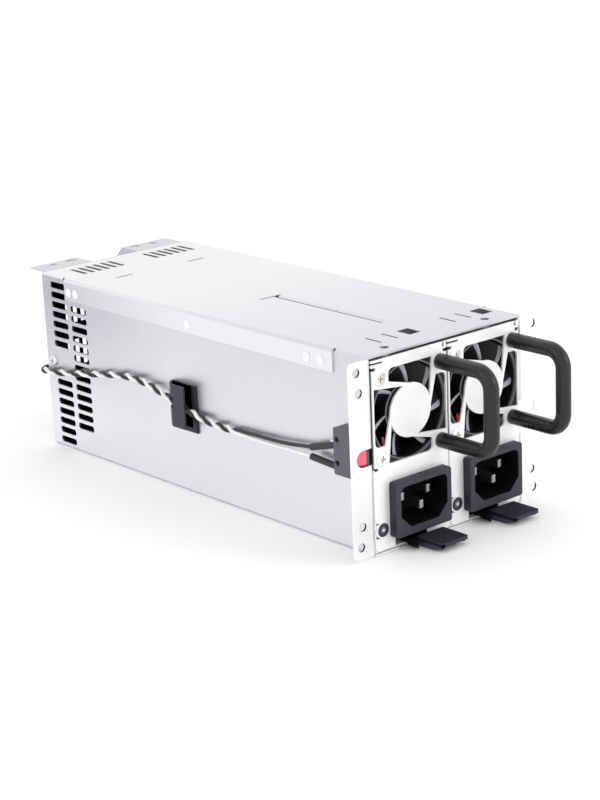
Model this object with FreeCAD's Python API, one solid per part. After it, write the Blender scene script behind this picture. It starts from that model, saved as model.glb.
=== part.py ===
import FreeCAD, Part
import math
import os

# A rack-mount cage with two hot swap power modules side by side. Millimetres, +Z up.
# The origin is the middle of the cage's bottom face, and the fronts of the modules face -Y.

V = FreeCAD.Vector
X_AXIS = V(1, 0, 0)
Y_AXIS = V(0, 1, 0)
Z_AXIS = V(0, 0, 1)

# Cage
CAGE_WIDTH = 82.4
CAGE_HEIGHT = 80.0
CAGE_LENGTH = 215.0
SHEET = 0.8
BEND = 1.6
WALL = CAGE_WIDTH / 2
FRONT = -CAGE_LENGTH / 2
REAR = CAGE_LENGTH / 2
INNER_WALL = WALL - SHEET
UNDER_TOP = CAGE_HEIGHT - SHEET

# Mounting ears, bent outwards from the walls
EAR_WIDTH = 10.5
EAR_CORNER = 2.0
EAR_HOLE = 3.5
OUTER_HOLE_OUT = 6.8
INNER_HOLE_OUT = 5.8
OUTER_HOLE_Z = (5.8, 75.3)
INNER_HOLE_Z = (13.9, 67.1)
BUTTON_Z = 40.9
WINDOW_RADIUS = 3.4
WINDOW_OUT = 4.4

# Vents in the side walls: two columns of rounded slots, the middle of the rear one left plain
VENT_LENGTH = 11.6
VENT_HEIGHT = 2.9
VENT_CORNER = 1.2
VENT_PITCH = 4.5
VENT_TOP_Z = 75.6
REAR_COLUMN_FROM_REAR = 6.4
FRONT_COLUMN_FROM_REAR = 20.7
REAR_COLUMN_ROWS = (0, 1, 2, 3, 4, 5, 6, 10, 11, 12, 13, 14, 15, 16)
FRONT_COLUMN_ROWS = tuple(range(2, 15))

# Top cover
FLANGE_DEPTH = 9.5
FLANGE_START = 20.0
FLANGE_END = 197.0
RIVET_HOLE = 3.0
RIVET_HEAD = 4.0
RIVET_HEAD_HEIGHT = 0.3
RIVET_Z = 74.1
RIVET_FROM_FRONT = (26.6, 34.7, 109.1, 188.4, 193.5)
BEAD_X = -1.5
BEAD_WIDTH = 3.4
BEAD_DEPTH = 1.0
BEAD_START = 29.5
BEAD_RUN_IN = 7.0
BEAD_END = 99.5
BEAD_SLIT_WIDTH = 1.0
BEAD_SLIT_SPAN = (-8.5, 3.0)
TOP_SLIT_WIDTH = 1.0
TOP_SLIT_FROM = 12.0
TOP_SLIT_LENGTH = 9.2
TOP_SLITS_X = (-3.1, 5.5)
TAB_HOLE_X = 15.0
TAB_HOLE_WIDTH = 6.0
TAB_HOLE_FROM = 12.0
TAB_HOLE_LENGTH = 7.6
PRESS_TAB_LENGTH = 4.6
PRESS_TAB_DROP = 0.8
COVER_HOLE = 3.6
COVER_HOLE_X = 27.4
COVER_HOLE_FROM = 6.2
TOP_VENT_X = -10.2
TOP_VENT_FROM = 197.0
TOP_VENT_LENGTH = 12.0
TOP_VENT_WIDTH = 2.1
TOP_VENT_PITCH = 4.1
TOP_VENT_COUNT = 6
REAR_TAB_IN = 12.9
REAR_TAB_OUT = 38.5
REAR_TAB_LENGTH = 12.7
REAR_TAB_HOLE = 3.6
REAR_TAB_HOLE_X = 28.4
REAR_TAB_D_X = 18.6
REAR_TAB_D = 5.0
REAR_TAB_HOLE_OUT = 8.5
LIP_SPREAD = 3.2
LIP_DROP = 3.6

# Modules: two alike, side by side, each in its own half of the cage
MODULE_GAP = 0.2
MODULE_WIDTH = INNER_WALL - 2 * MODULE_GAP
MODULE_LENGTH = 166.0
MODULE_SHEET = 0.8
MODULE_EDGE = 0.6
MODULE_BOTTOM = SHEET + MODULE_GAP
MODULE_TOP = UNDER_TOP - BEAD_DEPTH - 0.3
FACE_TOP = UNDER_TOP - 0.5
MODULE_HALF = MODULE_WIDTH / 2
MODULE_FLOOR = MODULE_BOTTOM + MODULE_SHEET
MODULE_BACK = FRONT + MODULE_LENGTH
FACE_BACK = FRONT + MODULE_SHEET
LID_FLANGE = 5.0
LID_SCREW = 3.0
LID_SCREW_HEAD = 5.0
BAY_X = {"left": -INNER_WALL / 2, "right": INNER_WALL / 2}

# Fan and its stamped guard
FAN_SIZE = 40.0
FAN_DEPTH = 28.0
FAN_PITCH = 32.0
FAN_HOLE = 3.2
FAN_BORE = 38.0
FAN_Z = 54.7
GUARD_HALF = 18.9
GUARD_HUB = 20.8
GUARD_PAD = 11.3
GUARD_CORNER = 1.0
HUB_RADIUS = 10.2
BLADE_COUNT = 7
BLADE_RADIUS = 18.6
BLADE_THICKNESS = 0.8
BLADE_FRONT = 2.2
BLADE_DEPTH = 14.0
HUB_FRONT = 1.6
HUB_DEPTH = 20.0
SHAFT = 2.0
SHAFT_CLEARANCE = 0.05
STATOR_DEPTH = 4.0
STRUT_WIDTH = 2.0
STRUT_COUNT = 4
SCREW_SHANK = 2.9
SCREW_HEAD = 5.8
SCREW_HEAD_HEIGHT = 1.8
FRONT_SCREW_LENGTH = 9.0

# Handle
HANDLE_TUBE = 6.2
HANDLE_REACH = 30.6
HANDLE_BEND = 7.0
HANDLE_THREAD = 7.0

# Mains inlet
INLET_X = 3.6
INLET_Z = 17.95
BEZEL_WIDTH = 29.2
BEZEL_HEIGHT = 21.9
BEZEL_DEPTH = 3.3
BEZEL_CORNER = 1.2
CAVITY_WIDTH = 24.4
CAVITY_HEIGHT = 17.0
CAVITY_CHAMFER = 5.0
CAVITY_CORNER = 2.6
CAVITY_DEPTH = 16.0
INLET_BODY_WALL = 1.3
INLET_BACK_WALL = 2.0
PIN_PITCH = 14.0
PIN_RISE = 2.4
EARTH_DROP = 4.0
PIN_WIDTH = 2.0
PIN_HEIGHT = 4.0
PIN_RECESS = 3.0
PIN_TAIL = 6.0

# Status lamp
LAMP_X = -15.9
LAMP_Z = 10.3
LAMP_LENS = 3.0
LAMP_HOLDER = 5.6
LAMP_COLLAR = 7.0
LAMP_COLLAR_HEIGHT = 0.9
LAMP_PROUD = 1.3
LAMP_BODY = 5.0
LAMP_NOTCH_WIDTH = 2.4
LAMP_NOTCH_HEIGHT = 6.4

# Latch lever: it turns about an upright pin behind the face and is pushed sideways by its tab
LATCH_SLOT = (-9.4, 7.3)
LATCH_SLOT_TOP = 5.4
LATCH_CLEARANCE = 0.3
LATCH_PLATE = 2.2
LATCH_PIVOT_X = -1.0
LATCH_PIVOT_IN = 24.0
LATCH_PIN = 2.0
LATCH_PIN_HEAD = 4.2
LATCH_EYE = 7.0
LATCH_NECK = (-4.0, 5.0)
LATCH_TAB = (-0.3, 15.5)
LATCH_TAB_OUT = (2.9, 15.7)
LATCH_TAB_THICK = 2.8
LATCH_RIB_COUNT = 6
LATCH_RIB = 0.5
LATCH_BLOCK = 3.4
LATCH_TOOTH = (-4.0, -1.0)
LATCH_TOOTH_IN = (6.0, 10.0)
LATCH_TOOTH_BOTTOM = 0.3
LATCH_CHANNEL = (-7.8, 0.4)
LATCH_CHANNEL_IN = 11.2
SPRING_STRIP = 0.3
SPRING_WIDTH = 1.8
SPRING_RAISE = 0.2
SPRING_FOOT = (3.0, 4.0)
SPRING_BEND = 3.0
SPRING_TURN = 65.0
SPRING_LEAF = 14.15

# Inside each module
BOARD = 1.6
BOARD_Z = 6.0
BOARD_HALF = 17.5
BOARD_START = 40.0
STANDOFF = 5.0
TONGUE_HALF = 14.0
TONGUE_REACH = 8.0
CAPACITOR = 18.0
CAPACITOR_HEIGHT = 38.0
CAPACITORS_IN = (52.0, 72.0)
TRANSFORMER_IN = 110.0
TRANSFORMER_WIDTH = 30.0
TRANSFORMER_LENGTH = 24.0
TRANSFORMER_HEIGHT = 30.0
HEAT_SINK_SPANS = ((84.0, 94.0), (126.0, 156.0))
HEAT_SINK_HEIGHT = 44.0
HEAT_SINK_BASE = 3.0
FIN_THICKNESS = 1.6
FIN_COUNT = 5

# Backplane in the rear of the cage
BRACKET_IN = 179.6
SOCKET_WIDTH = 34.0
SOCKET_HEIGHT = 9.0
SOCKET_DEPTH = 10.0
SOCKET_SLOT_CLEARANCE = 0.4
SOCKET_SLOT_DEPTH = 7.0
BACKPLANE_HALF = 38.5
BACKPLANE_TOP = 74.0
AIR_WINDOW = (-13.0, 13.0)
AIR_WINDOW_Z = (22.0, 68.0)
TERMINAL = 6.0
TERMINAL_LENGTH = 8.0
TERMINAL_COUNT = 6
TERMINAL_PITCH = 11.0
TERMINAL_Z = 15.0
BUZZER = 12.0
BUZZER_HEIGHT = 7.0
HEADER_SIZE = (6.0, 7.0, 6.0)

# Rear panel
OUTLET_WIDTH = 40.0
OUTLET_HEIGHT = 18.0
OUTLET_Z = 18.0
BUSHING_WALL = 1.6
BUSHING_LIP = 2.0
PANEL_TAB_Z = (37.2, 47.0)
PANEL_TAB_LENGTH = 11.0
SIDE_SCREW_FROM_REAR = 5.0
SIDE_SCREW_Z = 40.0
SIDE_SCREW_HEAD = 6.0
PANEL_VENT_Z = (34.0, 54.0)
LEAD_NOTCH_Z = (31.5, 37.0)
LEAD_NOTCH_WIDTH = 7.4

# Reset switch on the left wall, its button and its leads
SWITCH_THICKNESS = 6.4
SWITCH_FROM = 4.4
SWITCH_DEPTH = 10.2
SWITCH_Z = (32.3, 51.2)
SWITCH_HOLE = 2.4
SWITCH_HOLE_PITCH = 9.5
BUTTON = 4.6
BUTTON_OUT = 3.5
BUTTON_FACE = 0.6
BUTTON_TRAVEL = 1.2
STEM = 2.2
STEM_REACH = 2.6
TERMINALS_Z = (34.0, 43.2)
TERMINAL_BLADE = (0.6, 2.4)
TERMINAL_BLADE_LENGTH = 5.0
SLEEVE = 2.8
LEAD = 1.6
PAIR = 3.2
PAIR_STAND_OFF = 2.3
CLIP_FROM = 106.1
CLIP_TO = 122.1
CLIP_Z = (27.4, 48.0)
CLIP_BASE = 1.0
CLIP_FLAP = 1.0
CLIP_OPEN = 5.2


def box(x0, x1, y0, y1, z0, z1):
    """A box between two corners."""
    return Part.makeBox(x1 - x0, y1 - y0, z1 - z0, V(x0, y0, z0))


def rod(x, y, z, diameter, length, axis):
    """A round bar that starts at a point and runs along an axis."""
    return Part.makeCylinder(diameter / 2, length, V(x, y, z), axis)


def fuse(first, *others):
    """Join solids into one and drop the seams between flat faces."""
    return first.multiFuse(list(others)).removeSplitter()


def near(a, b):
    """Whether two lengths are the same."""
    return abs(a - b) < 0.001


def edges_along(shape, axis, test):
    """The edges that run along one axis and whose two ends pass the same test."""
    picked = []
    for edge in shape.Edges:
        ends = [vertex.Point for vertex in edge.Vertexes]
        if len(ends) != 2 or not all(test(end) for end in ends):
            continue
        if near(abs((ends[1] - ends[0]).dot(axis)), edge.Length):
            picked.append(edge)
    return picked


def rims_at(shape, axis, place):
    """The full circles that lie across an axis at one place along it."""
    return [edge for edge in shape.Edges
            if len(edge.Vertexes) == 1 and near(edge.Vertexes[0].Point.dot(axis), place)
            and near(edge.BoundBox.Center.dot(axis), place)]


def round_box(x0, x1, y0, y1, z0, z1, radius, axis):
    """A box with its four edges along one axis rounded."""
    solid = box(x0, x1, y0, y1, z0, z1)
    return solid.makeFillet(radius, edges_along(solid, axis, lambda p: True))


def outline(points, plane_normal, length):
    """Extrude a closed outline of points by a length along a direction."""
    face = Part.Face(Part.makePolygon(points + [points[0]]))
    return face.extrude(plane_normal * length)


def moved(shape, x=0.0, y=0.0, z=0.0):
    """A moved copy."""
    copy = shape.copy()
    copy.translate(V(x, y, z))
    return copy


def mirrored(shape):
    """A copy mirrored to the other side of the cage."""
    return shape.mirror(V(0, 0, 0), V(1, 0, 0))


def save(node, shape):
    """Write one sub-part."""
    shape.exportStep("parts/" + node + ".step")


def ear():
    """The right ear: a strip bent outwards at the front of the wall, with its holes."""
    stub = box(INNER_WALL, WALL, FRONT, FRONT + 2 * BEND, SHEET, UNDER_TOP)
    plate = box(INNER_WALL, WALL + EAR_WIDTH, FRONT, FRONT + SHEET, SHEET, UNDER_TOP)
    bent = fuse(stub, plate)
    outside = edges_along(bent, Z_AXIS, lambda p: near(p.x, INNER_WALL) and near(p.y, FRONT))
    bent = bent.makeFillet(BEND, outside)
    inside = edges_along(bent, Z_AXIS, lambda p: near(p.x, WALL) and near(p.y, FRONT + SHEET))
    bent = bent.makeFillet(BEND - SHEET, inside)
    tips = edges_along(bent, Y_AXIS, lambda p: near(p.x, WALL + EAR_WIDTH))
    bent = bent.makeFillet(EAR_CORNER, tips)
    holes = [rod(WALL + OUTER_HOLE_OUT, FRONT - 1, z, EAR_HOLE, SHEET + 2, Y_AXIS) for z in OUTER_HOLE_Z]
    holes += [rod(WALL + INNER_HOLE_OUT, FRONT - 1, z, EAR_HOLE, SHEET + 2, Y_AXIS) for z in INNER_HOLE_Z]
    return bent.cut(holes)


def ear_window():
    """The D-shaped window in the right ear, open through the bend."""
    depth = SHEET + BEND
    round_end = rod(WALL + WINDOW_OUT, FRONT - 1, BUTTON_Z, 2 * WINDOW_RADIUS, depth + 1, Y_AXIS)
    flat_end = box(INNER_WALL - 1, WALL + WINDOW_OUT, FRONT - 1, FRONT + depth,
                   BUTTON_Z - WINDOW_RADIUS, BUTTON_Z + WINDOW_RADIUS)
    return round_end.fuse(flat_end)


def side_vents():
    """Cutters for the vent slots, right through both walls."""
    cutters = []
    for from_rear, rows in ((REAR_COLUMN_FROM_REAR, REAR_COLUMN_ROWS),
                            (FRONT_COLUMN_FROM_REAR, FRONT_COLUMN_ROWS)):
        end = REAR - from_rear
        for row in rows:
            z = VENT_TOP_Z - row * VENT_PITCH
            cutters.append(round_box(-WALL - 1, WALL + 1, end - VENT_LENGTH, end,
                                     z - VENT_HEIGHT / 2, z + VENT_HEIGHT / 2, VENT_CORNER, X_AXIS))
    return cutters


def rivet_places():
    """The distances along the cage at which the cover is riveted."""
    return [FRONT + along for along in RIVET_FROM_FRONT]


def cage_shell():
    """Floor and side walls in one bent sheet, with the ears."""
    outer = box(-WALL, WALL, FRONT, REAR, 0, UNDER_TOP)
    outer = outer.makeFillet(BEND, edges_along(outer, Y_AXIS, lambda p: near(p.z, 0)))
    inner = box(-INNER_WALL, INNER_WALL, FRONT - 1, REAR + 1, SHEET, UNDER_TOP + 1)
    inner = inner.makeFillet(BEND - SHEET, edges_along(inner, Y_AXIS, lambda p: near(p.z, SHEET)))
    shell = outer.cut(inner)
    wall_fronts = [box(side * WALL - 1, side * WALL + 1, FRONT - 1, FRONT + 1.5 * BEND, SHEET, UNDER_TOP)
                   for side in (-1, 1)]
    shell = shell.cut(wall_fronts)
    right_ear = ear()
    shell = fuse(shell, right_ear, mirrored(right_ear))
    cutters = [ear_window(), mirrored(ear_window())] + side_vents()
    for y in rivet_places():
        cutters.append(rod(-WALL - 1, y, RIVET_Z, RIVET_HOLE, CAGE_WIDTH + 2, X_AXIS))
    cutters.append(rod(-WALL - 1, REAR - SIDE_SCREW_FROM_REAR, SIDE_SCREW_Z, SCREW_SHANK + 0.2,
                       CAGE_WIDTH + 2, X_AXIS))
    for x in BAY_X.values():
        cutters.append(box(x + LATCH_CHANNEL[0], x + LATCH_CHANNEL[1], FRONT - 1,
                           FRONT + LATCH_CHANNEL_IN, -1, SHEET + 1))
    return shell.cut(cutters)


def bead_section(y, depth):
    """The pressed bead's section at one distance along the cover."""
    half = BEAD_WIDTH / 2
    upper = Part.Arc(V(BEAD_X - half, y, CAGE_HEIGHT), V(BEAD_X, y, CAGE_HEIGHT - depth),
                     V(BEAD_X + half, y, CAGE_HEIGHT)).toShape()
    lower = Part.Arc(V(BEAD_X + half, y, UNDER_TOP), V(BEAD_X, y, UNDER_TOP - depth),
                     V(BEAD_X - half, y, UNDER_TOP)).toShape()
    right = Part.LineSegment(V(BEAD_X + half, y, CAGE_HEIGHT), V(BEAD_X + half, y, UNDER_TOP)).toShape()
    left = Part.LineSegment(V(BEAD_X - half, y, UNDER_TOP), V(BEAD_X - half, y, CAGE_HEIGHT)).toShape()
    return Part.Wire([upper, right, lower, left])


def bead():
    """The bead pressed down between the modules, running out at its front end."""
    start = FRONT + BEAD_START
    run_in = Part.makeLoft([bead_section(start, 0.05), bead_section(start + BEAD_RUN_IN, BEAD_DEPTH)], True)
    length = BEAD_END - BEAD_START - BEAD_RUN_IN
    straight = Part.Face(bead_section(start + BEAD_RUN_IN, BEAD_DEPTH)).extrude(Y_AXIS * length)
    return run_in, straight


def rear_tab():
    """The right rear tab of the cover, with its holes and its bent-down lip."""
    tab = box(REAR_TAB_IN, REAR_TAB_OUT, REAR - 1, REAR + REAR_TAB_LENGTH, UNDER_TOP, CAGE_HEIGHT)
    y = REAR + REAR_TAB_HOLE_OUT
    screw_hole = rod(REAR_TAB_HOLE_X, y, UNDER_TOP - 1, REAR_TAB_HOLE, SHEET + 2, Z_AXIS)
    d_hole = rod(REAR_TAB_D_X, y, UNDER_TOP - 1, REAR_TAB_D, SHEET + 2, Z_AXIS)
    flat = box(REAR_TAB_D_X - REAR_TAB_D, REAR_TAB_D_X + REAR_TAB_D, y - REAR_TAB_D, y - REAR_TAB_D / 4,
               UNDER_TOP - 2, CAGE_HEIGHT + 2)
    lip_x = REAR_TAB_IN - LIP_SPREAD
    lip = outline([V(REAR_TAB_IN, REAR, CAGE_HEIGHT), V(REAR_TAB_IN, REAR, UNDER_TOP),
                   V(lip_x, REAR, UNDER_TOP - LIP_DROP), V(lip_x, REAR, CAGE_HEIGHT - LIP_DROP)],
                  Y_AXIS, REAR_TAB_LENGTH)
    below_lip = outline([V(lip_x - 1, REAR, UNDER_TOP), V(lip_x - 1, REAR + REAR_TAB_LENGTH, UNDER_TOP - LIP_DROP),
                         V(lip_x - 1, REAR, UNDER_TOP - 2 * LIP_DROP)], X_AXIS, LIP_SPREAD + 1)
    return fuse(tab, lip.cut(below_lip)).cut([screw_hole, d_hole.cut(flat)])


def top_cover():
    """The cover: a flat top, two flanges down the outsides of the walls, and two rear tabs."""
    sheet = box(-WALL, WALL, FRONT, REAR, UNDER_TOP, CAGE_HEIGHT)
    outer = box(-WALL - SHEET, WALL + SHEET, FRONT + FLANGE_START, FRONT + FLANGE_END,
                CAGE_HEIGHT - FLANGE_DEPTH, CAGE_HEIGHT)
    outer = outer.makeFillet(BEND, edges_along(outer, Y_AXIS, lambda p: near(p.z, CAGE_HEIGHT)))
    inner = box(-WALL, WALL, FRONT, REAR, CAGE_HEIGHT - 2 * FLANGE_DEPTH, UNDER_TOP)
    cover = fuse(sheet, outer.cut(inner), rear_tab(), mirrored(rear_tab()))
    half = BEAD_WIDTH / 2
    end = FRONT + BEAD_END
    above = CAGE_HEIGHT + 1
    below = UNDER_TOP - 2
    cutters = [box(BEAD_X - half, BEAD_X + half, FRONT + BEAD_START, end, below, above),
               box(BEAD_X + BEAD_SLIT_SPAN[0], BEAD_X + BEAD_SLIT_SPAN[1], end, end + BEAD_SLIT_WIDTH,
                   below, above)]
    for y in rivet_places():
        cutters.append(rod(-WALL - 2, y, RIVET_Z, RIVET_HOLE, CAGE_WIDTH + 4, X_AXIS))
    for side in (-1, 1):
        cutters.append(rod(side * COVER_HOLE_X, FRONT + COVER_HOLE_FROM, below, COVER_HOLE, 4, Z_AXIS))
    press_tabs = []
    for x in BAY_X.values():
        for slit in TOP_SLITS_X:
            cutters.append(box(x + slit - TOP_SLIT_WIDTH / 2, x + slit + TOP_SLIT_WIDTH / 2,
                               FRONT + TOP_SLIT_FROM, FRONT + TOP_SLIT_FROM + TOP_SLIT_LENGTH, below, above))
        hole_end = FRONT + TAB_HOLE_FROM + TAB_HOLE_LENGTH
        cutters.append(box(x + TAB_HOLE_X - TAB_HOLE_WIDTH / 2, x + TAB_HOLE_X + TAB_HOLE_WIDTH / 2,
                           FRONT + TAB_HOLE_FROM, hole_end, below, above))
        tab_left = x + TAB_HOLE_X - TAB_HOLE_WIDTH / 2 + 0.5
        tip = hole_end - PRESS_TAB_LENGTH
        side = [V(tab_left, hole_end, CAGE_HEIGHT), V(tab_left, hole_end, UNDER_TOP),
                V(tab_left, tip, UNDER_TOP - PRESS_TAB_DROP), V(tab_left, tip, CAGE_HEIGHT - PRESS_TAB_DROP)]
        press_tabs.append(outline(side, X_AXIS, TAB_HOLE_WIDTH - 1))
        for index in range(TOP_VENT_COUNT):
            left = x + TOP_VENT_X + index * TOP_VENT_PITCH
            cutters.append(box(left, left + TOP_VENT_WIDTH, FRONT + TOP_VENT_FROM,
                               FRONT + TOP_VENT_FROM + TOP_VENT_LENGTH, below, above))
        cutters.append(bracket_tab(x, TOP_SLIT_WIDTH, 1.0, 2.0))
    return fuse(cover.cut(cutters), *bead(), *press_tabs)


def bracket_tab(x, thickness, spare, height):
    """A tab on the backplane bracket that stands in a slit of the cover, or the cutter for that slit."""
    middle = FRONT + BRACKET_IN + SHEET / 2
    return box(x - 5 - spare / 4, x + 3.4 + spare / 4, middle - thickness / 2, middle + thickness / 2,
               UNDER_TOP - spare, UNDER_TOP + height)


def cover_rivets():
    """Flush rivets through the cover's flanges and the walls."""
    solids = []
    for y in rivet_places():
        shank = rod(INNER_WALL, y, RIVET_Z, RIVET_HOLE, 2 * SHEET, X_AXIS)
        head = rod(WALL + SHEET, y, RIVET_Z, RIVET_HEAD, RIVET_HEAD_HEIGHT, X_AXIS)
        rivet = fuse(shank, head)
        solids += [rivet, mirrored(rivet)]
    return Part.makeCompound(solids)


def rear_panel():
    """The panel across the rear: cable outlet, vents, side tabs for the screws, a notch for the leads."""
    panel = box(-INNER_WALL, INNER_WALL, REAR - SHEET, REAR, SHEET, UNDER_TOP)
    tabs = [box(side * INNER_WALL - SHEET / 2 - side * SHEET / 2, side * INNER_WALL + SHEET / 2 - side * SHEET / 2,
                REAR - PANEL_TAB_LENGTH, REAR, *PANEL_TAB_Z) for side in (-1, 1)]
    panel = fuse(panel, *tabs)
    panel = panel.makeFillet(BEND - SHEET, edges_along(panel, Y_AXIS, lambda p: near(p.z, SHEET)))
    cutters = [box(-OUTLET_WIDTH / 2, OUTLET_WIDTH / 2, REAR - 5, REAR + 1,
                   OUTLET_Z - OUTLET_HEIGHT / 2, OUTLET_Z + OUTLET_HEIGHT / 2)]
    cutters.append(rod(-WALL, REAR - SIDE_SCREW_FROM_REAR, SIDE_SCREW_Z, SCREW_SHANK, CAGE_WIDTH, X_AXIS))
    cutters.append(box(-INNER_WALL - 1, -INNER_WALL + LEAD_NOTCH_WIDTH, REAR - 5, REAR + 1, *LEAD_NOTCH_Z))
    for x in BAY_X.values():
        for z in PANEL_VENT_Z:
            for index in range(TOP_VENT_COUNT):
                left = x + TOP_VENT_X + index * TOP_VENT_PITCH
                cutters.append(box(left, left + TOP_VENT_WIDTH, REAR - 5, REAR + 1, z, z + TOP_VENT_LENGTH))
    return panel.cut(cutters)


def side_screws():
    """One round-head screw through each wall into the rear panel's tab."""
    y = REAR - SIDE_SCREW_FROM_REAR
    shank = rod(INNER_WALL - 2 * SHEET, y, SIDE_SCREW_Z, SCREW_SHANK, 3 * SHEET, X_AXIS)
    dome = screw_head(SIDE_SCREW_HEAD, SCREW_HEAD_HEIGHT)
    dome.rotate(V(0, 0, 0), Z_AXIS, 90)
    screw = fuse(shank, moved(dome, WALL, y, SIDE_SCREW_Z))
    return Part.makeCompound([screw, mirrored(screw)])


def screw_head(diameter, height):
    """A pan head that sits on y = 0 and stands out along -Y."""
    head = rod(0, 0, 0, diameter, height, Y_AXIS * -1)
    return head.makeFillet(height / 2, rims_at(head, Y_AXIS, -height))


def cable_outlet_bushing():
    """The moulded frame that lines the cable outlet."""
    half = OUTLET_WIDTH / 2
    tall = OUTLET_HEIGHT / 2
    lip = BUSHING_LIP
    sleeve = box(-half, half, REAR - 3, REAR, OUTLET_Z - tall, OUTLET_Z + tall)
    flange = round_box(-half - lip, half + lip, REAR, REAR + 1.4, OUTLET_Z - tall - lip,
                       OUTLET_Z + tall + lip, 1.5, Y_AXIS)
    hole = box(-half + BUSHING_WALL, half - BUSHING_WALL, REAR - 4, REAR + 3,
               OUTLET_Z - tall + BUSHING_WALL, OUTLET_Z + tall - BUSHING_WALL)
    return fuse(sleeve, flange).cut(hole)


def air_windows(y0, y1):
    """Cutters for the air windows behind the two modules."""
    return [box(x + AIR_WINDOW[0], x + AIR_WINDOW[1], y0, y1, *AIR_WINDOW_Z) for x in BAY_X.values()]


def backplane_bracket():
    """The sheet that carries the backplane board, with two tabs up through the cover."""
    y = FRONT + BRACKET_IN
    bracket = box(-INNER_WALL, INNER_WALL, y, y + SHEET, SHEET, UNDER_TOP)
    bracket = bracket.makeFillet(BEND - SHEET, edges_along(bracket, Y_AXIS, lambda p: near(p.z, SHEET)))
    bracket = fuse(bracket, *[bracket_tab(x, SHEET, 0.0, SHEET) for x in BAY_X.values()])
    lower_window = box(-BACKPLANE_HALF + 4, BACKPLANE_HALF - 4, y - 1, y + 2,
                       TERMINAL_Z - TERMINAL, TERMINAL_Z + TERMINAL / 2 + 1)
    header_window = box(-35.0, -24.0, y - 1, y + 2, 26.0, 44.0)
    return bracket.cut(air_windows(y - 1, y + 2) + [lower_window, header_window])


def backplane_board():
    """The board that joins the two modules' outputs."""
    y = FRONT + BRACKET_IN
    board = box(-BACKPLANE_HALF, BACKPLANE_HALF, y - BOARD, y, SHEET + 1, BACKPLANE_TOP)
    windows = [box(x + AIR_WINDOW[0] + 2, x + AIR_WINDOW[1], y - BOARD - 1, y + 1, *AIR_WINDOW_Z)
               for x in BAY_X.values()]
    screw_holes = [rod(x, y - BOARD - 1, z, SCREW_SHANK + 0.1, BOARD + 2, Y_AXIS) for x, z in board_screw_places()]
    return board.cut(windows + screw_holes)


def board_screw_places():
    """Where the backplane board is screwed to its bracket."""
    return [(side * (BACKPLANE_HALF - 2.6), z) for side in (-1, 1) for z in (24.0, BACKPLANE_TOP - 3)]


def backplane_screws():
    """The screws that hold the backplane board, each with its nut end in the bracket."""
    y = FRONT + BRACKET_IN - BOARD
    head = screw_head(5.0, 1.4)
    screws = []
    for x, z in board_screw_places():
        shank = rod(x, y, z, SCREW_SHANK, BOARD, Y_AXIS)
        screws.append(fuse(shank, moved(head, x, y, z)))
    return Part.makeCompound(screws)


def backplane_sockets():
    """The sockets that the modules' board edges slide into."""
    back = FRONT + BRACKET_IN - BOARD
    middle = BOARD_Z + BOARD / 2
    gap = SOCKET_SLOT_CLEARANCE
    body = round_box(-SOCKET_WIDTH / 2, SOCKET_WIDTH / 2, back - SOCKET_DEPTH, back,
                     middle - SOCKET_HEIGHT / 2, middle + SOCKET_HEIGHT / 2, 0.8, Y_AXIS)
    slot = box(-TONGUE_HALF - gap, TONGUE_HALF + gap, back - SOCKET_DEPTH - 1,
               back - SOCKET_DEPTH + SOCKET_SLOT_DEPTH, BOARD_Z - gap, BOARD_Z + BOARD + gap)
    socket = body.cut(slot)
    return Part.makeCompound([moved(socket, x) for x in BAY_X.values()])


def output_terminals():
    """A row of brass terminal posts on the rear of the backplane board."""
    y = FRONT + BRACKET_IN
    posts = []
    for index in range(TERMINAL_COUNT):
        x = (index - (TERMINAL_COUNT - 1) / 2) * TERMINAL_PITCH
        post = rod(x, y, TERMINAL_Z, TERMINAL, TERMINAL_LENGTH, Y_AXIS)
        posts.append(post.cut(rod(x, y + 2, TERMINAL_Z, TERMINAL / 2, TERMINAL_LENGTH, Y_AXIS)))
    return Part.makeCompound(posts)


def alarm_buzzer():
    """The alarm sounder that the reset button silences."""
    y = FRONT + BRACKET_IN + SHEET
    body = rod(0, y, 56.0, BUZZER, BUZZER_HEIGHT, Y_AXIS)
    return body.cut(rod(0, y + BUZZER_HEIGHT - 1.5, 56.0, 2.4, 3, Y_AXIS))


def reset_header():
    """The small connector on the backplane board where the reset leads plug in."""
    x, y, z = header_middle()
    width, depth, height = HEADER_SIZE
    return round_box(x - width / 2, x + width / 2, y, y + depth, z - height / 2, z + height / 2, 0.5, Y_AXIS)


def header_middle():
    """The middle of the reset connector's foot."""
    return -30.0, FRONT + BRACKET_IN, 34.5


def reset_switch():
    """The snap-action switch on the left wall, with its two fixing holes and plunger bore."""
    y0 = FRONT + SWITCH_FROM
    y1 = y0 + SWITCH_DEPTH
    body = round_box(-WALL - SWITCH_THICKNESS, -WALL, y0, y1, SWITCH_Z[0], SWITCH_Z[1], 0.7, X_AXIS)
    holes = [rod(-WALL - SWITCH_THICKNESS - 1, y1 - 1.9, middle, SWITCH_HOLE, SWITCH_THICKNESS + 2, X_AXIS)
             for middle in switch_hole_heights()]
    bore = rod(-WALL - BUTTON_OUT, y0 - 1, BUTTON_Z, STEM + 2 * SHAFT_CLEARANCE,
               STEM_REACH + BUTTON_TRAVEL + 1.5, Y_AXIS)
    return body.cut(holes + [bore])


def switch_hole_heights():
    """The heights of the switch's two fixing holes."""
    middle = sum(SWITCH_Z) / 2
    return middle - SWITCH_HOLE_PITCH / 2, middle + SWITCH_HOLE_PITCH / 2


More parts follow.
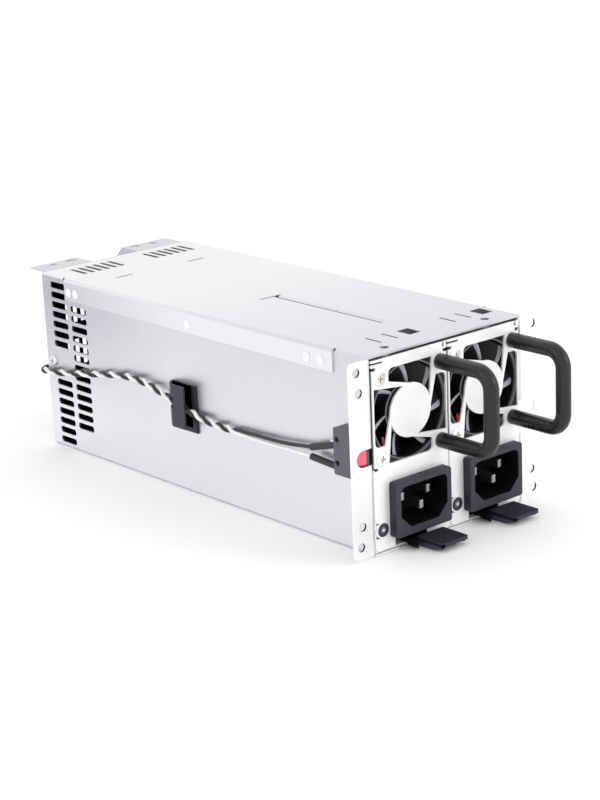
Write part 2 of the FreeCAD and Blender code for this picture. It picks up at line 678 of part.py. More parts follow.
def reset_button():
    """The red cap in the left ear's window, on its plunger."""
    face = FRONT + BUTTON_FACE
    cap_end = FRONT + SWITCH_FROM - BUTTON_TRAVEL - 0.3
    cap = rod(-WALL - BUTTON_OUT, face, BUTTON_Z, BUTTON, cap_end - face, Y_AXIS)
    cap = cap.makeFillet(0.5, rims_at(cap, Y_AXIS, face))
    stem = rod(-WALL - BUTTON_OUT, cap_end - 0.5, BUTTON_Z, STEM, STEM_REACH + BUTTON_TRAVEL + 0.8, Y_AXIS)
    return fuse(cap, stem)


def switch_side_x():
    """The distance out from the middle at which the switch's terminals and leads lie."""
    return -WALL - SWITCH_THICKNESS / 2


def reset_switch_terminals():
    """The switch's two flat solder terminals."""
    start = FRONT + SWITCH_FROM + SWITCH_DEPTH
    thick, tall = TERMINAL_BLADE
    x = switch_side_x()
    return Part.makeCompound([box(x - thick / 2, x + thick / 2, start, start + TERMINAL_BLADE_LENGTH,
                                  z - tall / 2, z + tall / 2) for z in TERMINALS_Z])


# Where the two leads and their twisted pair run along the left wall, from the front of the cage
def pair_route():
    """The twisted pair: from the rear connector, round the rear edge of the wall, to the split."""
    x, y, z = header_middle()
    out = -WALL - PAIR_STAND_OFF
    clip = -WALL - CLIP_BASE - PAIR / 2 - 0.4
    return [V(x, y + HEADER_SIZE[1], z), V(x, FRONT + 194.5, z), V(-33.6, FRONT + 205, 34.3),
            V(-35.3, FRONT + 216.6, 34.4), V(-39.4, FRONT + 219.0, 34.6), V(out - 0.1, FRONT + 216.6, 34.9),
            V(out, FRONT + 209.5, 35.3), V(out - 0.1, FRONT + 196, 37.0), V(out, FRONT + 180, 39.8),
            V(out - 0.1, FRONT + 163, 42.9), V(out - 0.2, FRONT + 146, 44.8), V(out - 0.4, FRONT + 131, 42.8),
            V(clip, FRONT + 116, 39.4), V(clip + 0.3, FRONT + 103, 36.0), V(out, FRONT + 90, 34.6),
            V(out, FRONT + 78, 34.9)]


def black_lead_route():
    """The black lead: from the split up to the upper terminal's sleeve."""
    out = -WALL - PAIR_STAND_OFF
    return [V(out, FRONT + 78, 34.9 + LEAD / 2), V(out, FRONT + 66, 35.9), V(out - 0.4, FRONT + 54, 36.3),
            V(out - 0.8, FRONT + 42, 37.2), V(switch_side_x(), FRONT + 31, 38.9)]


def white_lead_route():
    """The white lead: from the split, sagging a little lower, to the lower terminal's sleeve."""
    out = -WALL - PAIR_STAND_OFF
    return [V(out, FRONT + 78, 34.9 - LEAD / 2), V(out, FRONT + 66, 33.9), V(out - 0.4, FRONT + 54, 34.2),
            V(out - 0.8, FRONT + 42, 34.9), V(switch_side_x(), FRONT + 31, 34.9)]


def tube(points, diameter, name):
    """A plain tube along straight runs joined by tangent arcs as large as the runs allow."""
    edges = []
    last = points[0]
    radii = []
    for index in range(1, len(points) - 1):
        before = points[index] - points[index - 1]
        after = points[index + 1] - points[index]
        turn = before.getAngle(after)
        reach = 0.45 * min(before.Length, after.Length)
        radii.append(reach / math.tan(turn / 2))
        into = before.normalize()
        out_of = after.normalize()
        first = points[index] - into * reach
        second = points[index] + out_of * reach
        centre_way = (out_of - into).normalize()
        middle = points[index] + centre_way * (radii[-1] / math.cos(turn / 2) - radii[-1])
        edges.append(Part.LineSegment(last, first).toShape())
        edges.append(Part.Arc(first, middle, second).toShape())
        last = second
    edges.append(Part.LineSegment(last, points[-1]).toShape())
    path = Part.Wire(edges)
    circle = Part.Wire(Part.makeCircle(diameter / 2, points[0], points[1] - points[0]))
    solid = path.makePipeShell([circle], True, False)
    section = math.pi * diameter * diameter / 4
    print(name, "smallest radius %.1f" % min(radii), "length %.1f" % path.Length,
          "volume over section times length %.4f" % (solid.Volume / (section * path.Length)))
    return solid


def heat_shrink_sleeves():
    """The sleeves over the soldered joints, from the leads' ends to the terminals."""
    start = FRONT + SWITCH_FROM + SWITCH_DEPTH
    sleeves = []
    for z, lead_end in zip(TERMINALS_Z, (white_lead_route()[-1], black_lead_route()[-1])):
        front_end = V(switch_side_x(), start + 0.6, z)
        axis = lead_end - front_end
        sleeve = Part.makeCylinder(SLEEVE / 2, axis.Length, front_end, axis)
        sleeves.append(sleeve)
    return Part.makeCompound([sleeve.cut(reset_switch_terminals()) for sleeve in sleeves])


def cable_clip():
    """The adhesive clip: a base on the wall and a flap folded over the leads from its rear edge."""
    y0 = FRONT + CLIP_FROM
    y1 = FRONT + CLIP_TO
    base = box(-WALL - CLIP_BASE, -WALL, y0, y1, *CLIP_Z)
    fold = box(-WALL - CLIP_OPEN, -WALL, y1 - CLIP_FLAP, y1, *CLIP_Z)
    flap = box(-WALL - CLIP_OPEN - CLIP_FLAP, -WALL - CLIP_OPEN, y0 + 7.5, y1, *CLIP_Z)
    clip = fuse(base, fold, flap)
    outer_x = -WALL - CLIP_OPEN - CLIP_FLAP
    clip = clip.makeFillet(CLIP_FLAP, edges_along(clip, Z_AXIS, lambda p: near(p.x, outer_x) and near(p.y, y1)))
    window = box(-WALL - CLIP_OPEN - CLIP_FLAP / 2, -WALL - CLIP_BASE, y1 - CLIP_FLAP - 1, y1 + 1,
                 (CLIP_Z[0] + CLIP_Z[1]) / 2 - 1.2, (CLIP_Z[0] + CLIP_Z[1]) / 2 + 7.0)
    return clip.cut(window)


def guard_window():
    """One of the guard's four windows: above the hub, between two slanted arms."""
    radius = GUARD_HUB / 2
    y = FRONT - 1
    low_right = V(radius * math.cos(math.radians(18)), y, radius * math.sin(math.radians(18)))
    hub_top = V(0, y, radius)
    arc_middle = V(radius * math.cos(math.radians(54)), y, radius * math.sin(math.radians(54)))
    top_left = V(-GUARD_PAD, y, GUARD_HALF)
    top_right = V(GUARD_PAD + 0.7, y, GUARD_HALF)
    bottom_left = V(-GUARD_PAD, y, GUARD_PAD + 2.7)
    arm_edge = Part.Arc(hub_top, V(-GUARD_PAD / 2, y, radius + 1.1), bottom_left).toShape()
    edges = [Part.LineSegment(top_left, top_right).toShape(),
             Part.LineSegment(top_right, low_right).toShape(),
             Part.Arc(low_right, arc_middle, hub_top).toShape(),
             arm_edge,
             Part.LineSegment(bottom_left, top_left).toShape()]
    window = Part.Face(Part.Wire(edges)).extrude(Y_AXIS * (MODULE_SHEET + 2))
    sharp = (top_left, top_right, bottom_left)
    corners = edges_along(window, Y_AXIS,
                          lambda p: any(near(p.x, q.x) and near(p.z, q.z) for q in sharp))
    return window.makeFillet(GUARD_CORNER, corners)


def fan_hole_places():
    """The four fixing holes of the fan, as x and z."""
    half = FAN_PITCH / 2
    return [(x, FAN_Z + z) for x in (-half, half) for z in (-half, half)]


def module_chassis():
    """Face, floor, walls and back of a module in bent sheet, with the stamped fan guard."""
    h = MODULE_HALF
    t = MODULE_SHEET
    lid = MODULE_TOP - t
    face = box(-h, h, FRONT, FACE_BACK, MODULE_BOTTOM, FACE_TOP)
    floor = box(-h, h, FRONT, MODULE_BACK, MODULE_BOTTOM, MODULE_FLOOR)
    walls = [box(-h, -h + t, FRONT, MODULE_BACK, MODULE_BOTTOM, lid),
             box(h - t, h, FRONT, MODULE_BACK, MODULE_BOTTOM, lid)]
    back = box(-h, h, MODULE_BACK - t, MODULE_BACK, MODULE_BOTTOM, lid)
    standoffs = [rod(side * (BOARD_HALF - 4), FRONT + along, MODULE_FLOOR, STANDOFF, BOARD_Z - MODULE_FLOOR, Z_AXIS)
                 for side in (-1, 1) for along in (BOARD_START + 6, MODULE_LENGTH - 8)]
    chassis = fuse(face, floor, back, *walls, *standoffs)
    fan_room = box(-h - 1, h + 1, FACE_BACK, FACE_BACK + FAN_DEPTH, FAN_Z - FAN_SIZE / 2, lid + 1)
    chassis = chassis.cut(fan_room)
    keel = edges_along(chassis, Y_AXIS, lambda p: near(abs(p.x), h) and near(p.z, MODULE_BOTTOM))
    chassis = chassis.makeFillet(BEND - SHEET, keel)
    edges = edges_along(chassis, Z_AXIS, lambda p: near(abs(p.x), h) and near(p.y, FRONT))
    chassis = chassis.makeFillet(MODULE_EDGE, edges)
    collar = rod(LAMP_X, FRONT - LAMP_COLLAR_HEIGHT, LAMP_Z, LAMP_COLLAR, LAMP_COLLAR_HEIGHT + t, Y_AXIS)
    notch = box(-h - 1, -h + LAMP_NOTCH_WIDTH, FRONT - 1, FACE_BACK + 1, LAMP_Z - LAMP_NOTCH_HEIGHT / 2,
                LAMP_Z + LAMP_NOTCH_HEIGHT / 2)
    chassis = fuse(chassis.cut(notch), collar)
    window = moved(guard_window(), z=FAN_Z)
    cutters = []
    for quarter in range(4):
        turned = window.copy()
        turned.rotate(V(0, 0, FAN_Z), Y_AXIS, 90 * quarter)
        cutters.append(turned)
    for x, z in fan_hole_places():
        cutters.append(rod(x, FRONT - 1, z, FAN_HOLE, t + 2, Y_AXIS))
    cutters.append(rod(LAMP_X, FRONT - 3, LAMP_Z, LAMP_HOLDER + 0.1, 6, Y_AXIS))
    cutters.append(inlet_block(FRONT - 1, FACE_BACK + 1, 0.1))
    cutters.append(box(LATCH_SLOT[0], LATCH_SLOT[1], FRONT - 1, FACE_BACK + 1, MODULE_FLOOR, LATCH_SLOT_TOP))
    cutters.append(box(-h - 1, -h + 3.2, FRONT - 1, FACE_BACK + 1, FACE_TOP - 1.2, FACE_TOP - 0.8))
    cutters.append(box(h - 1.6, h - 1.1, FRONT - 1, FACE_BACK + 1, FACE_TOP - 4.2, FACE_TOP + 1))
    cutters.append(box(LATCH_CHANNEL[0] + 0.4, LATCH_CHANNEL[1] - 0.4, FRONT + LATCH_TOOTH_IN[0] - 0.8,
                       FRONT + LATCH_TOOTH_IN[1] + 0.8, 0, MODULE_FLOOR + 0.1))
    cutters.append(rod(LATCH_PIVOT_X, FRONT + LATCH_PIVOT_IN, 0, LATCH_PIN, MODULE_FLOOR + 1, Z_AXIS))
    slot_gap = SOCKET_SLOT_CLEARANCE
    cutters.append(box(-TONGUE_HALF - slot_gap, TONGUE_HALF + slot_gap, MODULE_BACK - 2, MODULE_BACK + 1,
                       BOARD_Z - slot_gap, BOARD_Z + BOARD + slot_gap))
    for index in range(TOP_VENT_COUNT + 1):
        left = TOP_VENT_X - 3.0 + index * TOP_VENT_PITCH
        cutters.append(box(left, left + TOP_VENT_WIDTH, MODULE_BACK - 2, MODULE_BACK + 1, 30, 66))
    for y in lid_screw_places():
        cutters.append(rod(-h - 1, y, lid - LID_FLANGE / 2, LID_SCREW, MODULE_WIDTH + 2, X_AXIS))
    return chassis.cut(cutters)


def lid_screw_places():
    """Where the lid's flanges are screwed to the walls, as y."""
    return [FACE_BACK + FAN_DEPTH + 12, FRONT + MODULE_LENGTH / 2, MODULE_BACK - 16]


def module_lid():
    """The module's lid, with flanges inside the walls."""
    h = MODULE_HALF
    t = MODULE_SHEET
    under = MODULE_TOP - t
    start = FACE_BACK + FAN_DEPTH + 2 * SCREW_HEAD_HEIGHT
    sheet = box(-h, h, FACE_BACK, MODULE_BACK, under, MODULE_TOP)
    flanges = [box(-h + t, -h + 2 * t, start, MODULE_BACK - t, under - LID_FLANGE, under),
               box(h - 2 * t, h - t, start, MODULE_BACK - t, under - LID_FLANGE, under)]
    holes = [rod(-h - 1, y, under - LID_FLANGE / 2, LID_SCREW, MODULE_WIDTH + 2, X_AXIS)
             for y in lid_screw_places()]
    return fuse(sheet, *flanges).cut(holes)


def lid_screws():
    """Flush countersunk screws through the walls into the lid's flanges."""
    z = MODULE_TOP - MODULE_SHEET - LID_FLANGE / 2
    screws = []
    for y in lid_screw_places():
        screw = rod(MODULE_HALF - 2 * MODULE_SHEET, y, z, LID_SCREW, 2 * MODULE_SHEET, X_AXIS)
        screws += [screw, mirrored(screw)]
    return Part.makeCompound(screws)


def inlet_block(y0, y1, spare):
    """The inlet's body behind its bezel, or the cutter that leaves room for it."""
    half = CAVITY_WIDTH / 2 + INLET_BODY_WALL + spare
    tall = CAVITY_HEIGHT / 2 + INLET_BODY_WALL + spare
    return box(INLET_X - half, INLET_X + half, y0, y1, INLET_Z - tall, INLET_Z + tall)


def inlet_cavity():
    """The inlet's cavity: upper corners rounded, lower corners cut off at a slant."""
    half = CAVITY_WIDTH / 2
    tall = CAVITY_HEIGHT / 2
    y = FRONT - BEZEL_DEPTH - 1
    cut = CAVITY_CHAMFER
    corners = [V(-half, y, tall), V(half, y, tall), V(half, y, -tall + cut), V(half - cut, y, -tall),
               V(-half + cut, y, -tall), V(-half, y, -tall + cut)]
    solid = outline(corners, Y_AXIS, CAVITY_DEPTH + 1)
    upper = edges_along(solid, Y_AXIS, lambda p: near(p.z, tall))
    return moved(solid.makeFillet(CAVITY_CORNER, upper), INLET_X, 0, INLET_Z)


def inlet_pin_places():
    """Line, neutral and earth, as x and z."""
    high = INLET_Z + PIN_RISE
    return [(INLET_X - PIN_PITCH / 2, high), (INLET_X + PIN_PITCH / 2, high), (INLET_X, high - EARTH_DROP)]


def inlet_housing():
    """The mains inlet: bezel on the face, body behind it, cavity and pin slots."""
    half = BEZEL_WIDTH / 2
    tall = BEZEL_HEIGHT / 2
    back = FRONT - BEZEL_DEPTH + CAVITY_DEPTH
    bezel = round_box(INLET_X - half, INLET_X + half, FRONT - BEZEL_DEPTH, FRONT, INLET_Z - tall,
                      INLET_Z + tall, BEZEL_CORNER, Y_AXIS)
    rim = [e for e in bezel.Edges if all(near(v.Point.y, FRONT - BEZEL_DEPTH) for v in e.Vertexes)]
    bezel = bezel.makeChamfer(0.5, rim)
    body = inlet_block(FRONT, back + INLET_BACK_WALL, 0.0)
    slots = [box(x - PIN_WIDTH / 2, x + PIN_WIDTH / 2, back - 1, back + INLET_BACK_WALL + 1,
                 z - PIN_HEIGHT / 2, z + PIN_HEIGHT / 2) for x, z in inlet_pin_places()]
    return fuse(bezel, body).cut([inlet_cavity()] + slots)


def inlet_pins():
    """The inlet's three flat pins, with their solder tails behind."""
    start = FRONT - BEZEL_DEPTH + PIN_RECESS
    length = CAVITY_DEPTH - PIN_RECESS + INLET_BACK_WALL + PIN_TAIL
    pins = []
    for x, z in inlet_pin_places():
        pin = box(x - PIN_WIDTH / 2, x + PIN_WIDTH / 2, start, start + length, z - PIN_HEIGHT / 2,
                  z + PIN_HEIGHT / 2)
        tip = [e for e in pin.Edges if all(near(v.Point.y, start) for v in e.Vertexes)]
        pins.append(pin.makeChamfer(0.6, tip))
    return Part.makeCompound(pins)


def status_led():
    """The lamp: a clear domed lens on a short body."""
    front = FRONT - LAMP_PROUD
    body = rod(LAMP_X, front + LAMP_LENS / 2, LAMP_Z, LAMP_LENS, LAMP_BODY, Y_AXIS)
    dome = Part.makeSphere(LAMP_LENS / 2, V(LAMP_X, front + LAMP_LENS / 2, LAMP_Z))
    return fuse(body, dome)


def led_holder():
    """The black ring that holds the lamp in the face's collar."""
    front = FRONT - LAMP_PROUD
    ring = rod(LAMP_X, front, LAMP_Z, LAMP_HOLDER, LAMP_BODY, Y_AXIS)
    ring = ring.makeFillet(0.5, rims_at(ring, Y_AXIS, front))
    mouth = Part.makeCone(LAMP_HOLDER / 2 - 0.6, LAMP_LENS / 2, 1.4, V(LAMP_X, front, LAMP_Z), Y_AXIS)
    return ring.cut([mouth, rod(LAMP_X, front - 1, LAMP_Z, LAMP_LENS, LAMP_BODY + 2, Y_AXIS)])


def fan_frame():
    """The fan's square frame with its bore, corner holes, rear hub and struts."""
    half = FAN_SIZE / 2
    rear = FACE_BACK + FAN_DEPTH
    frame = round_box(-half, half, FACE_BACK, rear, FAN_Z - half, FAN_Z + half, 1.5, Y_AXIS)
    bore = rod(0, FACE_BACK - 1, FAN_Z, FAN_BORE, FAN_DEPTH + 2, Y_AXIS)
    frame = frame.cut(bore)
    hub = rod(0, rear - STATOR_DEPTH, FAN_Z, 2 * HUB_RADIUS, STATOR_DEPTH, Y_AXIS)
    struts = []
    for index in range(STRUT_COUNT):
        strut = box(-STRUT_WIDTH / 2, STRUT_WIDTH / 2, rear - STATOR_DEPTH, rear, FAN_Z + HUB_RADIUS / 2,
                    FAN_Z + FAN_BORE / 2 + 0.4)
        strut.rotate(V(0, 0, FAN_Z), Y_AXIS, 45 + index * 360 / STRUT_COUNT)
        struts.append(strut)
    frame = fuse(frame, hub, *struts)
    holes = [rod(x, FACE_BACK - 1, z, FAN_HOLE, FAN_DEPTH + 2, Y_AXIS) for x, z in fan_hole_places()]
    bearing = rod(0, rear - STATOR_DEPTH - 1, FAN_Z, SHAFT + 2 * SHAFT_CLEARANCE, STATOR_DEPTH - 0.6, Y_AXIS)
    return frame.cut(holes + [bearing])


def blade_section(radius, sweep, pitch):
    """A blade's curved section at one radius, on the plane that touches that radius from outside."""
    half = BLADE_DEPTH / 2
    lean = half / math.tan(math.radians(pitch))
    camber = 0.13 * BLADE_DEPTH
    thick = BLADE_THICKNESS / 2
    middle = FACE_BACK + BLADE_FRONT + half

    def point(share, offset):
        across = -lean * share + camber * (1 - share * share) + sweep + offset
        return V(across, middle + half * share, FAN_Z + radius)

    front_side = Part.Arc(point(-1, -thick / 2), point(0, -thick), point(1, -thick / 2)).toShape()
    back_side = Part.Arc(point(1, thick / 2), point(0, thick), point(-1, thick / 2)).toShape()
    tail = Part.LineSegment(point(1, -thick / 2), point(1, thick / 2)).toShape()
    nose = Part.LineSegment(point(-1, thick / 2), point(-1, -thick / 2)).toShape()
    return Part.Wire([front_side, tail, back_side, nose])


def fan_rotor():
    """The fan's wheel: a cupped hub and twisted, swept blades on a shaft."""
    hub = rod(0, FACE_BACK + HUB_FRONT, FAN_Z, 2 * HUB_RADIUS, HUB_DEPTH, Y_AXIS)
    hub = hub.makeFillet(0.8, rims_at(hub, Y_AXIS, FACE_BACK + HUB_FRONT))
    sections = [blade_section(HUB_RADIUS - 1.6, 0.0, 48), blade_section((HUB_RADIUS + BLADE_RADIUS) / 2, 1.6, 40),
                blade_section(BLADE_RADIUS, 4.6, 34)]
    blade = Part.makeLoft(sections, True)
    swept = rod(0, FACE_BACK, FAN_Z, 2 * BLADE_RADIUS, FAN_DEPTH, Y_AXIS)
    blade = blade.common(swept)
    blades = []
    for index in range(BLADE_COUNT):
        turned = blade.copy()
        turned.rotate(V(0, 0, FAN_Z), Y_AXIS, index * 360 / BLADE_COUNT)
        blades.append(turned)
    shaft_length = FAN_DEPTH - STATOR_DEPTH - HUB_FRONT - HUB_DEPTH + STATOR_DEPTH - 2.4
    shaft = rod(0, FACE_BACK + HUB_FRONT + HUB_DEPTH - 1, FAN_Z, SHAFT, shaft_length + 1, Y_AXIS)
    return fuse(hub, shaft, *blades)


def fan_screws():
    """Two screws from the front on the left, two from behind into the handle on the right."""
    half = FAN_PITCH / 2
    front_screw = fuse(screw_head(SCREW_HEAD, SCREW_HEAD_HEIGHT),
                       rod(0, 0, 0, SCREW_SHANK, FRONT_SCREW_LENGTH, Y_AXIS))
    rear_head = screw_head(SCREW_HEAD, SCREW_HEAD_HEIGHT)
    rear_head.rotate(V(0, 0, 0), Z_AXIS, 180)
    shank_length = MODULE_SHEET + FAN_DEPTH + HANDLE_THREAD - 0.5
    rear_screw = fuse(rear_head, rod(0, 0, 0, SCREW_SHANK, shank_length, Y_AXIS * -1))
    screws = []
    for z in (FAN_Z - half, FAN_Z + half):
        screws.append(moved(front_screw, -half, FRONT, z))
        screws.append(moved(rear_screw, half, FACE_BACK + FAN_DEPTH, z))
    return Part.makeCompound(screws)


def handle():
    """The black tube handle, bent to a U and screwed on through the fan's right-hand holes."""
    x = FAN_PITCH / 2
    reach = HANDLE_REACH - HANDLE_TUBE / 2
    low = FAN_Z - FAN_PITCH / 2
    high = FAN_Z + FAN_PITCH / 2
    r = HANDLE_BEND
    lean = r * (1 - math.sqrt(0.5))
    bar = FRONT - reach
    edges = [Part.LineSegment(V(x, FRONT, high), V(x, bar + r, high)).toShape(),
             Part.Arc(V(x, bar + r, high), V(x, bar + lean, high - lean), V(x, bar, high - r)).toShape(),
             Part.LineSegment(V(x, bar, high - r), V(x, bar, low + r)).toShape(),
             Part.Arc(V(x, bar, low + r), V(x, bar + lean, low + lean), V(x, bar + r, low)).toShape(),
             Part.LineSegment(V(x, bar + r, low), V(x, FRONT, low)).toShape()]
    circle = Part.Wire(Part.makeCircle(HANDLE_TUBE / 2, V(x, FRONT, high), Y_AXIS))
    solid = Part.Wire(edges).makePipeShell([circle], True, False)
    threads = [rod(x, FRONT + 1, z, SCREW_SHANK + 0.1, HANDLE_THREAD + 1, Y_AXIS * -1) for z in (low, high)]
    return solid.cut(threads)


def fan_lead():
    """The fan's red lead: out of the hub along a strut, then down to the board."""
    rear = FACE_BACK + FAN_DEPTH
    points = [V(-4.0, rear, FAN_Z - 4.0), V(-4.0, rear + 4.5, FAN_Z - 4.0), V(-5.0, rear + 8.5, FAN_Z - 9.0),
              V(-7.0, rear + 10.0, FAN_Z - 19.0), V(-8.8, rear + 11.5, FAN_Z - 30.0),
              V(-9.0, rear + 14.0, FAN_Z - 39.0), V(-9.0, rear + 14.0, BOARD_Z + BOARD)]
    return tube(points, 1.3, "fan lead")


def latch_lever():
    """The latch: an eye on the pin, a neck out through the face, a ribbed tab and a tooth below."""
    low = MODULE_FLOOR + LATCH_CLEARANCE
    high = low + LATCH_PLATE
    pivot_y = FRONT + LATCH_PIVOT_IN
    x = LATCH_PIVOT_X
    eye = rod(x, pivot_y, low, LATCH_EYE, LATCH_PLATE, Z_AXIS)
    arm = outline([V(x - LATCH_EYE / 2, pivot_y, low), V(x + LATCH_EYE / 2, pivot_y, low),
                   V(LATCH_NECK[1], FRONT + 4, low), V(LATCH_NECK[1], FRONT - LATCH_TAB_OUT[0], low),
                   V(LATCH_NECK[0], FRONT - LATCH_TAB_OUT[0], low), V(LATCH_NECK[0], FRONT + 4, low)],
                  Z_AXIS, LATCH_PLATE)
    tab_front = FRONT - LATCH_TAB_OUT[1]
    tab_back = FRONT - LATCH_TAB_OUT[0]
    tab = box(LATCH_TAB[0], LATCH_TAB[1], tab_front, tab_back + 0.6, high - LATCH_TAB_THICK, high)
    slant = outline([V(LATCH_NECK[0], tab_back, low), V(LATCH_TAB[0], tab_back - 4.5, low),
                     V(LATCH_TAB[1] - 6, tab_back, low)], Z_AXIS, LATCH_PLATE)
    block = round_box(LATCH_TAB[0], LATCH_TAB[0] + LATCH_BLOCK, tab_front, tab_back, high - LATCH_TAB_THICK - 0.4,
                      high + 0.3, 0.4, Y_AXIS)
    foot = box(LATCH_TAB[1] - 3.0, LATCH_TAB[1] - 1.4, tab_front + 1, tab_back - 1,
               high - LATCH_TAB_THICK - 0.5, high - 1)
    tooth = box(LATCH_TOOTH[0], LATCH_TOOTH[1], FRONT + LATCH_TOOTH_IN[0], FRONT + LATCH_TOOTH_IN[1],
                LATCH_TOOTH_BOTTOM, high)
    pitch = (LATCH_TAB_OUT[1] - LATCH_TAB_OUT[0] - 2) / LATCH_RIB_COUNT
    ribs = [box(LATCH_TAB[0] + LATCH_BLOCK - 0.5, LATCH_TAB[1] - 1, tab_front + 1 + index * pitch,
                tab_front + 1 + (index + 0.5) * pitch, high - 0.2, high + LATCH_RIB)
            for index in range(LATCH_RIB_COUNT)]
    lever = fuse(eye, arm, slant, tab, block, foot, tooth, *ribs)
    return lever.cut(rod(x, pivot_y, low - 1, LATCH_PIN + 2 * SHAFT_CLEARANCE, LATCH_PLATE + 2, Z_AXIS))


def latch_pin():
    """The upright pin that the latch turns on, riveted in the module's floor."""
    top = MODULE_FLOOR + 2 * LATCH_CLEARANCE + LATCH_PLATE
    shank = rod(LATCH_PIVOT_X, FRONT + LATCH_PIVOT_IN, MODULE_BOTTOM, LATCH_PIN, top - MODULE_BOTTOM, Z_AXIS)
    head = rod(LATCH_PIVOT_X, FRONT + LATCH_PIVOT_IN, top, LATCH_PIN_HEAD, 0.8, Z_AXIS)
    return fuse(shank, head)


def latch_spring():
    """A bent strip spring, fixed to the wall, that pushes the latch back to the right."""
    z = MODULE_FLOOR + LATCH_CLEARANCE + SPRING_RAISE
    pivot_y = FRONT + LATCH_PIVOT_IN
    centre = V(-MODULE_HALF + MODULE_SHEET + SPRING_BEND, pivot_y - SPRING_FOOT[0], z)
    turn = math.radians(SPRING_TURN)
    leaf = V(math.sin(turn), -math.cos(turn), 0) * SPRING_LEAF

    def side(radius):
        """One side of the strip: foot end, bend start, bend middle, bend end and tip."""
        bend = [centre - V(math.cos(angle), math.sin(angle), 0) * radius for angle in (0, turn / 2, turn)]
        return [V(bend[0].x, pivot_y + SPRING_FOOT[1], z)] + bend + [bend[2] + leaf]

    def strokes(points):
        """The foot, bend and leaf along one side."""
        foot_end, bend_start, bend_middle, bend_end, tip = points
        return [Part.LineSegment(foot_end, bend_start).toShape(),
                Part.Arc(bend_start, bend_middle, bend_end).toShape(),
                Part.LineSegment(bend_end, tip).toShape()]

    outer = side(SPRING_BEND)
    inner = side(SPRING_BEND - SPRING_STRIP)
    edges = strokes(outer) + [Part.LineSegment(outer[-1], inner[-1]).toShape()]
    edges += strokes(inner)[::-1] + [Part.LineSegment(inner[0], outer[0]).toShape()]
    return Part.Face(Part.Wire(Part.__sortEdges__(edges))).extrude(Z_AXIS * SPRING_WIDTH)


def main_board():
    """The converter board, with the edge tongue that plugs into the backplane."""
    start = FRONT + BOARD_START
    board = box(-BOARD_HALF, BOARD_HALF, start, MODULE_BACK - 2, BOARD_Z, BOARD_Z + BOARD)
    tongue = box(-TONGUE_HALF, TONGUE_HALF, MODULE_BACK - 3, MODULE_BACK + TONGUE_REACH, BOARD_Z, BOARD_Z + BOARD)
    tips = edges_along(tongue, Z_AXIS, lambda p: near(p.y, MODULE_BACK + TONGUE_REACH))
    return fuse(board, tongue.makeChamfer(1.0, tips))


def heat_sinks():
    """Two finned aluminium extrusions standing on the board."""
    sinks = []
    top = BOARD_Z + BOARD + HEAT_SINK_HEIGHT
    for start, end in HEAT_SINK_SPANS:
        base = box(-BOARD_HALF + 2, -BOARD_HALF + 2 + HEAT_SINK_BASE, FRONT + start, FRONT + end,
                   BOARD_Z + BOARD, top)
        spacing = (HEAT_SINK_HEIGHT - FIN_THICKNESS) / (FIN_COUNT - 1)
        fins = [box(-BOARD_HALF + 2, -BOARD_HALF + 14, FRONT + start, FRONT + end,
                    BOARD_Z + BOARD + index * spacing, BOARD_Z + BOARD + index * spacing + FIN_THICKNESS)
                for index in range(FIN_COUNT)]
        sinks.append(fuse(base, *fins))
    return Part.makeCompound(sinks)


def transformer():
    """The main transformer: a ferrite core round a taped winding."""
    y = FRONT + TRANSFORMER_IN
    half = TRANSFORMER_WIDTH / 2
    deep = TRANSFORMER_LENGTH / 2
    z = BOARD_Z + BOARD
    top = z + TRANSFORMER_HEIGHT
    leg = 5.0
    core = box(-half, half, y - deep / 2, y + deep / 2, z, top)
    core = core.cut(box(-half + leg, half - leg, y - deep, y + deep, z + leg, top - leg))
    winding = round_box(-half + leg, half - leg, y - deep, y + deep, z + leg, top - leg, 4.0, Y_AXIS)
    return Part.makeCompound([core, winding])


def bulk_capacitors():
    """The two bulk capacitors, standing on the board."""
    cans = []
    for along in CAPACITORS_IN:
        can = rod(6.0, FRONT + along, BOARD_Z + BOARD, CAPACITOR, CAPACITOR_HEIGHT, Z_AXIS)
        cans.append(can.makeFillet(1.2, rims_at(can, Z_AXIS, BOARD_Z + BOARD + CAPACITOR_HEIGHT)))
    return Part.makeCompound(cans)


CAGE_PARTS = {
    "cage_shell": cage_shell, "top_cover": top_cover, "cover_rivets": cover_rivets,
    "rear_panel": rear_panel, "side_screws": side_screws, "cable_outlet_bushing": cable_outlet_bushing,
    "backplane_bracket": backplane_bracket, "backplane_board": backplane_board,
    "backplane_sockets": backplane_sockets, "backplane_screws": backplane_screws,
    "output_terminals": output_terminals, "alarm_buzzer": alarm_buzzer, "reset_header": reset_header,
    "reset_switch": reset_switch, "reset_switch_terminals": reset_switch_terminals,
    "heat_shrink_sleeves": heat_shrink_sleeves, "cable_clip": cable_clip, "reset_button": reset_button,
}

MODULE_PARTS = {
    "module_chassis": module_chassis, "module_lid": module_lid, "lid_screws": lid_screws,
    "fan_frame": fan_frame, "fan_rotor": fan_rotor, "fan_screws": fan_screws, "fan_lead": fan_lead,
    "handle": handle, "inlet_housing": inlet_housing, "inlet_pins": inlet_pins,
    "status_led": status_led, "led_holder": led_holder, "latch_lever": latch_lever,
    "latch_pin": latch_pin, "latch_spring": latch_spring, "main_board": main_board,
    "heat_sinks": heat_sinks, "transformer": transformer, "bulk_capacitors": bulk_capacitors,
}

os.makedirs("parts", exist_ok=True)
for node, make in CAGE_PARTS.items():
    save(node, make())
save("reset_wire_pair", tube(pair_route(), PAIR, "wire pair"))
save("black_lead", tube(black_lead_route(), LEAD, "black lead"))
save("white_lead", tube(white_lead_route(), LEAD, "white lead"))
for node, make in MODULE_PARTS.items():
    solid = make()
    for side, x in BAY_X.items():
        save(node + "_" + side, moved(solid, x))
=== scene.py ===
import math

import bpy
from mathutils import Matrix, Vector


